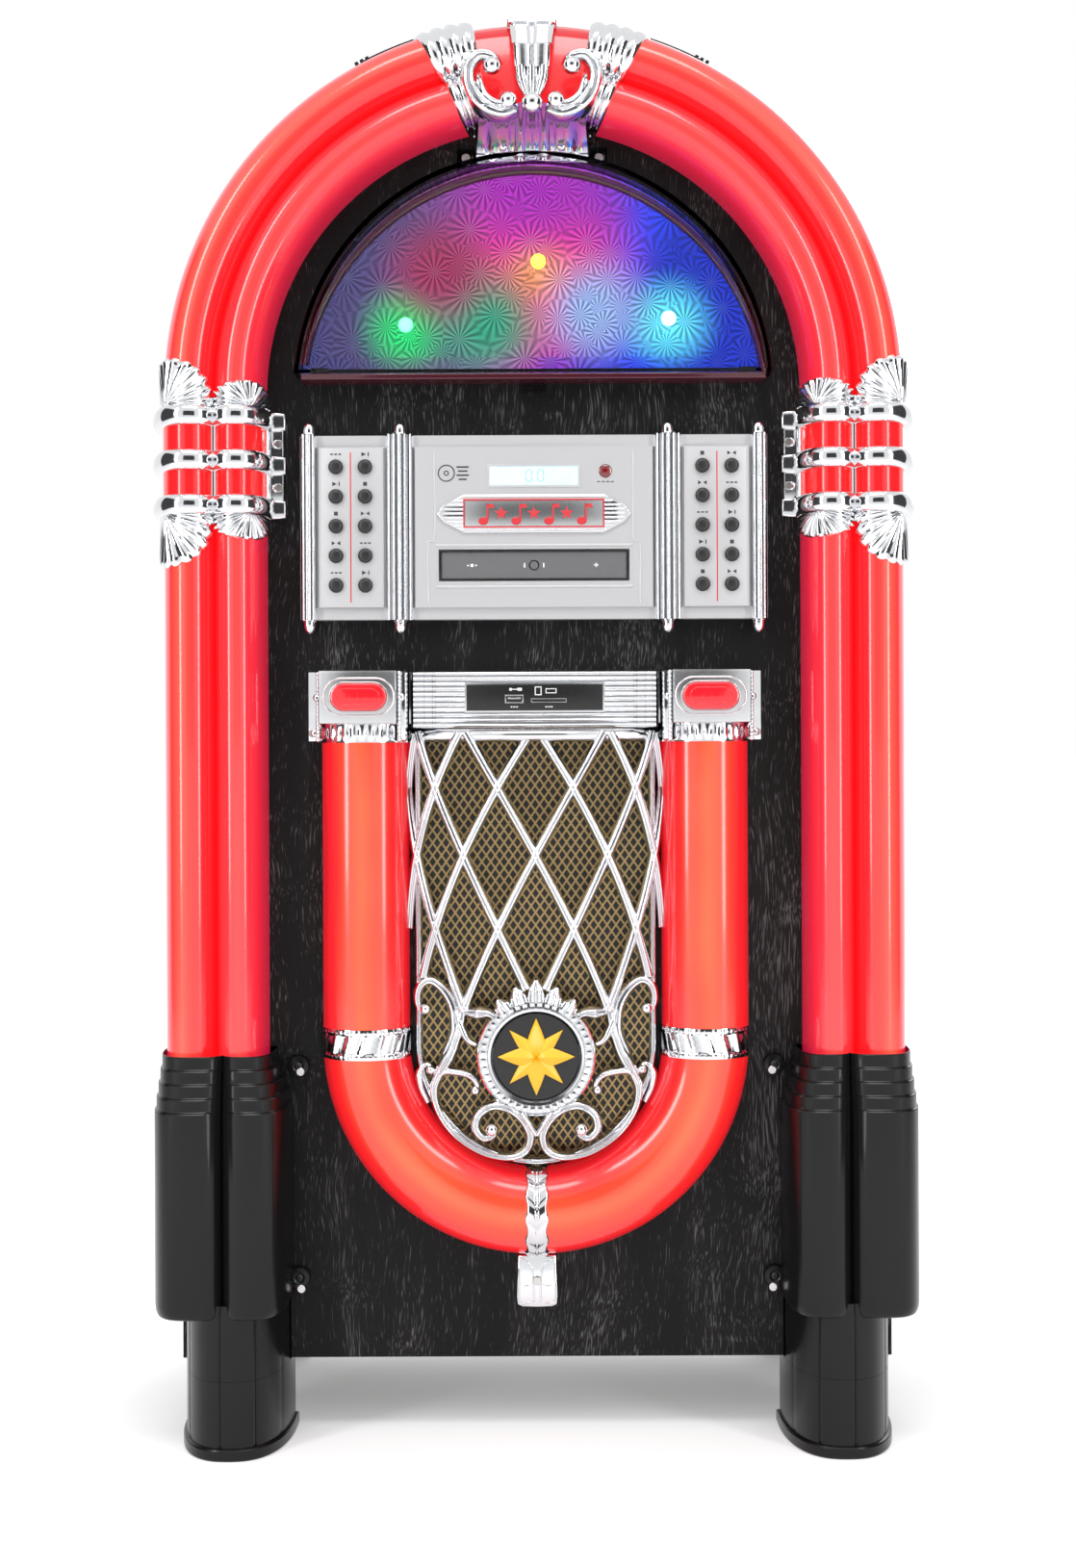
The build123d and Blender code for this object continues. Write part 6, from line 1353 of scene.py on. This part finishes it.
# %% Panel edges
TRAY_Z = PANEL_Z - 28.1
bevel = []
for z in (TRAY_Z + 14.5, TRAY_Z - 15.8):
    bevel.append(scroll([(-72, z), (0, z), (72, z)], PANEL_FRONT - 0.2, 2.2, 0.9, (1, 1), 1, 8))
for x in (-77.5, 77.5):
    bevel.append(scroll([(x, PANEL_Z - 56), (x, PANEL_Z - 12), (x * 0.94, PANEL_Z - 7),
                         (x * 0.94, PANEL_Z + 56)], PANEL_FRONT - 0.2, 1.8, 0.8, (1, 1), 1, 40))
piece("panel_bevels", wings + bevel, SILVER)
piece("tray_slot", frame_shells(0, TRAY_Z, 139.6, 23.2, 1.5, PANEL_FRONT - 1, PANEL_FRONT + 0.35), LABEL)

# %% [markdown]
# The tray keeps its CAD shape, eased, and takes its marks along when it slides out.

# %% Tray
front_y = FACE - span("disc_tray")[0][1]
eased("disc_tray", "disc_tray_body", TRAY_SILVER, 0.4, "disc_tray")
marks = [lathe([(3.0, 0.3), (3.0, 0.0), (3.8, 0.0), (3.8, 0.3)], (0, FACE - front_y, TRAY_Z), steps=28)]
marks += [plate(x, TRAY_Z, w, h, front_y - 0.2, front_y + 0.2, 0.1) for x, w, h in
          ((-45.5, 2.2, 2.2), (-48.5, 1.4, 1.0), (-42.5, 1.4, 1.0), (45.5, 3.4, 0.8), (45.5, 1.0, 3.0),
           (7, 1.0, 3.4), (-7, 1.0, 3.4))]
piece("tray_marks", marks, INK_WHITE, "disc_tray")

# %% [markdown]
# The nameplate is a tapered shield with ribs at both ends round a satin field.  Its notes and
# stars stand where a name would.

# %% Nameplate
N_LOW, N_HIGH = span("nameplate")
NAME_Z, NAME_F = (N_LOW[2] + N_HIGH[2]) / 2, FACE - N_LOW[1]
half, tall = (N_HIGH[0] - N_LOW[0]) / 2, (N_HIGH[2] - N_LOW[2]) / 2
outline = [(-half, NAME_Z), (-half + 5, NAME_Z - tall * 0.45), (-half + 20, NAME_Z - tall),
           (half - 20, NAME_Z - tall), (half - 5, NAME_Z - tall * 0.45), (half, NAME_Z),
           (half - 5, NAME_Z + tall * 0.45),
           (half - 20, NAME_Z + tall), (-half + 20, NAME_Z + tall), (-half + 5, NAME_Z + tall * 0.45)]
shells = [prism(outline, NAME_F - 3, NAME_F - 0.6, 0.5)]
for k in np.arange(-4, 5):
    z = NAME_Z + k * tall / 4.6
    reach = half - 5 - 15 * max(0, (abs(k) - 1.5) / 2.8)
    inner_x = 51 if abs(k) < 4 else 0
    for sign in (1, -1):
        shells.append(scroll([(sign * inner_x, z), (sign * (inner_x + reach) / 2, z), (sign * reach, z)],
                             NAME_F - 0.9, 1.9, 1.3, (1, 1, 0.7), 1, 10))
piece("name_ribs", shells, CHROME, replaces=["nameplate"], smooth=50)
piece("name_field", [plate(0, NAME_Z, 102, 20, NAME_F - 1.5, NAME_F - 0.2, 0.3)], SATIN)


def note(x, z, size):
    """Eighth note: a leaning head, a stem and a flag."""
    head = lathe([(0, 0.9), (2.0, 0.7), (2.4, 0.0)], (0, 0, 0), steps=20)
    head = (head[0] * [size * 1.25, 1, size] + [x, FACE - NAME_F + 0.3, z - 4.5 * size], head[1])
    return [head, plate(x + 2.5 * size, z + 0.5 * size, 1.1 * size, 10 * size, NAME_F - 0.6, NAME_F + 0.6),
            plate(x + 4.4 * size, z + 4.4 * size, 3.6 * size, 2.2 * size, NAME_F - 0.6, NAME_F + 0.6,
                  lean=-0.8)]


signs = frame_shells(0, NAME_Z, 103.4, 21.0, 1.0, NAME_F - 0.6, NAME_F + 0.5)
for x in (-37, -13, 11, 35):
    signs += note(x, NAME_Z, 1.25)
for x in (-24, 0, 24):
    spikes = np.linspace(0, 2 * math.pi, 10, endpoint=False) + math.pi / 2
    radius = np.where(np.arange(10) % 2 == 0, 5.2, 2.2)
    signs.append(prism(np.stack([x + radius * np.cos(spikes), NAME_Z + radius * np.sin(spikes)], 1),
                       NAME_F - 0.6, NAME_F + 0.6, 0.2))
piece("name_signs", signs, INK_RED)

# %% [markdown]
# What is printed on the panel is a thin layer that stands just proud of it.  The windows are the
# pale display, with two digits, and the round sensor.

# %% Windows and printed signs
lines = [plate(x, PANEL_Z, 0.9, 110, PANEL_FRONT - 0.3, PANEL_FRONT + 0.12, 0.05) for x in (-134.2, 134.2)]
piece("pinstripes", lines, INK_RED)
LCD_Z, LCD_W = PANEL_Z + 37.4, 66.7
piece("display_glass", [plate(0, LCD_Z, LCD_W - 2.0, 13.6, PANEL_FRONT - 2, PANEL_FRONT + 0.2, 0.1)], LCD,
      replaces=["panel_windows"])
piece("display_bezel", frame_shells(0, LCD_Z, LCD_W + 1.6, 17.4, 1.8, PANEL_FRONT - 2, PANEL_FRONT + 0.5),
      SILVER)
digits = []
for x in (-3.5, 5.0):                   # two seven-segment digits; bars that aren't lit are left out
    digits += [plate(x, LCD_Z + z, 3.4, 0.7, PANEL_FRONT, PANEL_FRONT + 0.35, 0.05) for z in (4.2, -4.2)]
    digits += [plate(x + dx, LCD_Z + z, 0.7, 3.4, PANEL_FRONT, PANEL_FRONT + 0.35, 0.05)
               for dx in (-2.1, 2.1) for z in (-2.1, 2.1)]
piece("display_digits", digits, LCD_INK)
piece("sensor_lens", [lathe([(0, 1.9), (2.6, 1.6), (4.2, 0.9), (4.7, 0.0), (4.7, -2.0)],
                            (52.5, FACE - PANEL_FRONT, LCD_Z + 3.2), steps=36)], SENSOR)


def printed(x, z, width, height, thick=0.2):
    """Small printed bar on the panel."""
    return plate(x, z, width, height, PANEL_FRONT - 0.2, PANEL_FRONT + thick, 0.05)


def printed_arrow(points):
    """Small printed triangle on the panel."""
    return prism(points, PANEL_FRONT - 0.2, PANEL_FRONT + 0.2, 0.05)


signs = [lathe([(r - 0.75, 0), (r - 0.7, 0.3), (r, 0.3), (r + 0.05, 0)], (-64, FACE - PANEL_FRONT, LCD_Z + 2),
               steps=36) for r in (6.2, 1.9)]
signs += [printed(-52.0, LCD_Z + z, w, 1.1, 0.25) for z, w in ((6.5, 9), (3.5, 7), (0.5, 9), (-2.5, 6))]
signs += [printed(52.5 + dx, LCD_Z - 4.6, 2.2, 0.7) for dx in (-5, -1.6, 1.8, 5)]
COLUMNS = (("a", -145.0), ("b", -123.5), ("c", 123.5), ("d", 145.0))
for place, (column, x) in enumerate(COLUMNS):
    for row in range(5):
        z = PANEL_Z + 53.6 - 21.7 * row     # just above its button
        kind = (row + place) % 4
        if kind == 0:
            signs += [printed(x + dx, z, 2.0, 1.0) for dx in (-3, 0, 3)]
        elif kind == 1:
            signs += [printed_arrow([(x - 2.6, z - 1.6), (x + 0.8, z), (x - 2.6, z + 1.6)]),
                      printed(x + 2.4, z, 0.8, 3.0)]
        elif kind == 2:
            signs += [printed(x, z, 2.8, 2.8)]
        else:
            signs += [printed_arrow([(x + way * 3.2, z - 1.5), (x + way * 3.2, z + 1.5), (x + way * 0.6, z)])
                      for way in (1, -1)]
piece("panel_signs", signs, INK)

# %% [markdown]
# Each button is turned: a soft dome, a short stem and the flange that keeps it in the panel.

# %% Buttons
for column, x in COLUMNS:
    for row in range(1, 6):
        node = f"button_{column}{row}"
        low, high = span(node)
        middle, proud = (low[2] + high[2]) / 2, FACE - low[1]
        shape = [(0.02, proud), (2.8, proud - 0.15), (4.4, proud - 0.6), (5.2, proud - 1.5), (5.4, proud - 2.6),
                 (5.4, PANEL_FRONT - 2.8), (6.6, PANEL_FRONT - 2.9), (6.6, PANEL_FRONT - 4.2),
                 (0.02, PANEL_FRONT - 4.2)]
        piece(f"{node}_cap", [lathe(shape, (x, FACE, middle), steps=40)], RUBBER, node, [node])

# %% [markdown]
# ## Display window
# A clear half drum over the foil.  Its rim is thicker, so it looks dark and slightly red where
# light from the lenses runs along the plastic.

# %% Window
hood_low, hood_high = span("display_hood")
hood_r = (hood_high[0] - hood_low[0]) / 2
foil_proud = FACE - span("display_backdrop")[0][1]
sill, HOOD_DROP = hood_low[2], 13.6     # the hood's straight edge stands this far above its centre
hood_z = sill - HOOD_DROP
start = math.asin(HOOD_DROP / 175.0) + 0.02
turn = np.linspace(start, math.pi - start, 90)
outer_edge = np.stack([(hood_r - 3.4) * np.cos(turn), hood_z + (hood_r - 3.4) * np.sin(turn)], 1)
rim_shells = [scroll(outer_edge[::3], 0.4, 6.0, 4.6, (1, 1), 1, 120),
              scroll(outer_edge[::3] * 0.985 + [0, 0.015 * hood_z], 20.5, 1.8, 3.0, (1, 1), 1, 120)]
rim_shells.append(plate(0, sill + 2.6, 2 * hood_r - 10, 4.6, 0.3, 22.5, 1.0))
piece("window_rim", rim_shells, HOOD_RIM)
shelf = plate(0, sill + 7.5, 2 * hood_r - 22, 6.0, 0.3, 14.0, 1.0)
piece("window_shelf", [shelf], BLACK)
for name, x, z, finish_of in (("lamp_middle", 4, 862, LAMP_WARM), ("lamp_left", -93, 816, LAMP_GREEN),
                              ("lamp_right", 99, 820, LAMP_CYAN)):
    piece(name, [ball((x, FACE - foil_proud + 0.4, z), 5.4, 0.6)], finish_of)
tabs = [plate(x, hood_z + 181, 12, 17, 0.3, 12, 1.0) for x in (-50, 47)]
tabs.append(plate(0, sill - 1.5, 20, 9, 0.3, 15, 1.0))
piece("window_tabs", tabs, HOOD)

# %% [markdown]
# ## Parts that keep the CAD shape
# Boards, boxes and metalwork are plain in life too.  Each is the CAD solid with its edges eased, since no real
# edge is perfectly sharp, and it takes the finish listed for it.

# %% Eased CAD parts
KEPT = {                                # finish, slot and how wide its edges are rounded, in millimetres
    "cabinet_front": (VENEER, "black_veneer", 1.0), "cabinet_wrap": (VENEER, "black_veneer", 1.0),
    "cabinet_floor": (HARDBOARD, "back_board", 0.6), "back_panel": (HARDBOARD, "back_board", 0.6),
    "trim_screws": (STEEL, "screw_steel", 0.3), "rear_feet": (BLACK, "black_plastic", 1.0),
    "lamp_boards": (BOARD, "circuit_board", 0.2), "control_fascia": (SILVER, "silver_plastic", 0.5),
    "disc_drive": (DRIVE, "drive_metal", 0.3), "display_hood": (HOOD, "clear_hood", 0.4),
    "speaker_baskets": (STEEL_BLACK, "steel_black", 0.4), "speaker_cones": (PAPER, "paper_cone", 0.2),
    "amplifier_module": (STEEL_BLACK, "steel_black", 0.5),
}
for node, (material, slot, width) in KEPT.items():
    eased(node, f"{node}_shown", material, width)

# %% [markdown]
# The foil and the mesh are thin flat sheets that need no easing, so the CAD nodes stay and only
# take a finish.

# %% Sheets
for node, material in (("display_backdrop", FOIL), ("grille_mesh", MESH)):
    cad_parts[node].data.materials.clear()
    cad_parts[node].data.materials.append(material)
    print(node, "takes", material.name)

# %% [markdown]
# ## Studio floor
# One pale sheet.  The lamps leave a soft shadow where the feet stand and below the cabinet.

# %% Floor
FLOOR_HALF = 60                         # metres, far enough that its edge never shows
corners = [(x * FLOOR_HALF, y * FLOOR_HALF, 0) for x, y in ((-1, -1), (1, -1), (1, 1), (-1, 1))]
mesh = bpy.data.meshes.new("floor")
mesh.from_pydata(corners, [], [(0, 1, 2, 3)])
floor = bpy.data.objects.new("floor", mesh)
bpy.context.scene.collection.objects.link(floor)
mesh.materials.append(plain("floor_paper", (0.86, 0.86, 0.865), 0.0, 0.6, 3.0, 0.02, 0.0,
                             Specular_IOR_Level=0.0, Emission_Color=(1, 1, 1, 1), Emission_Strength=0.22))
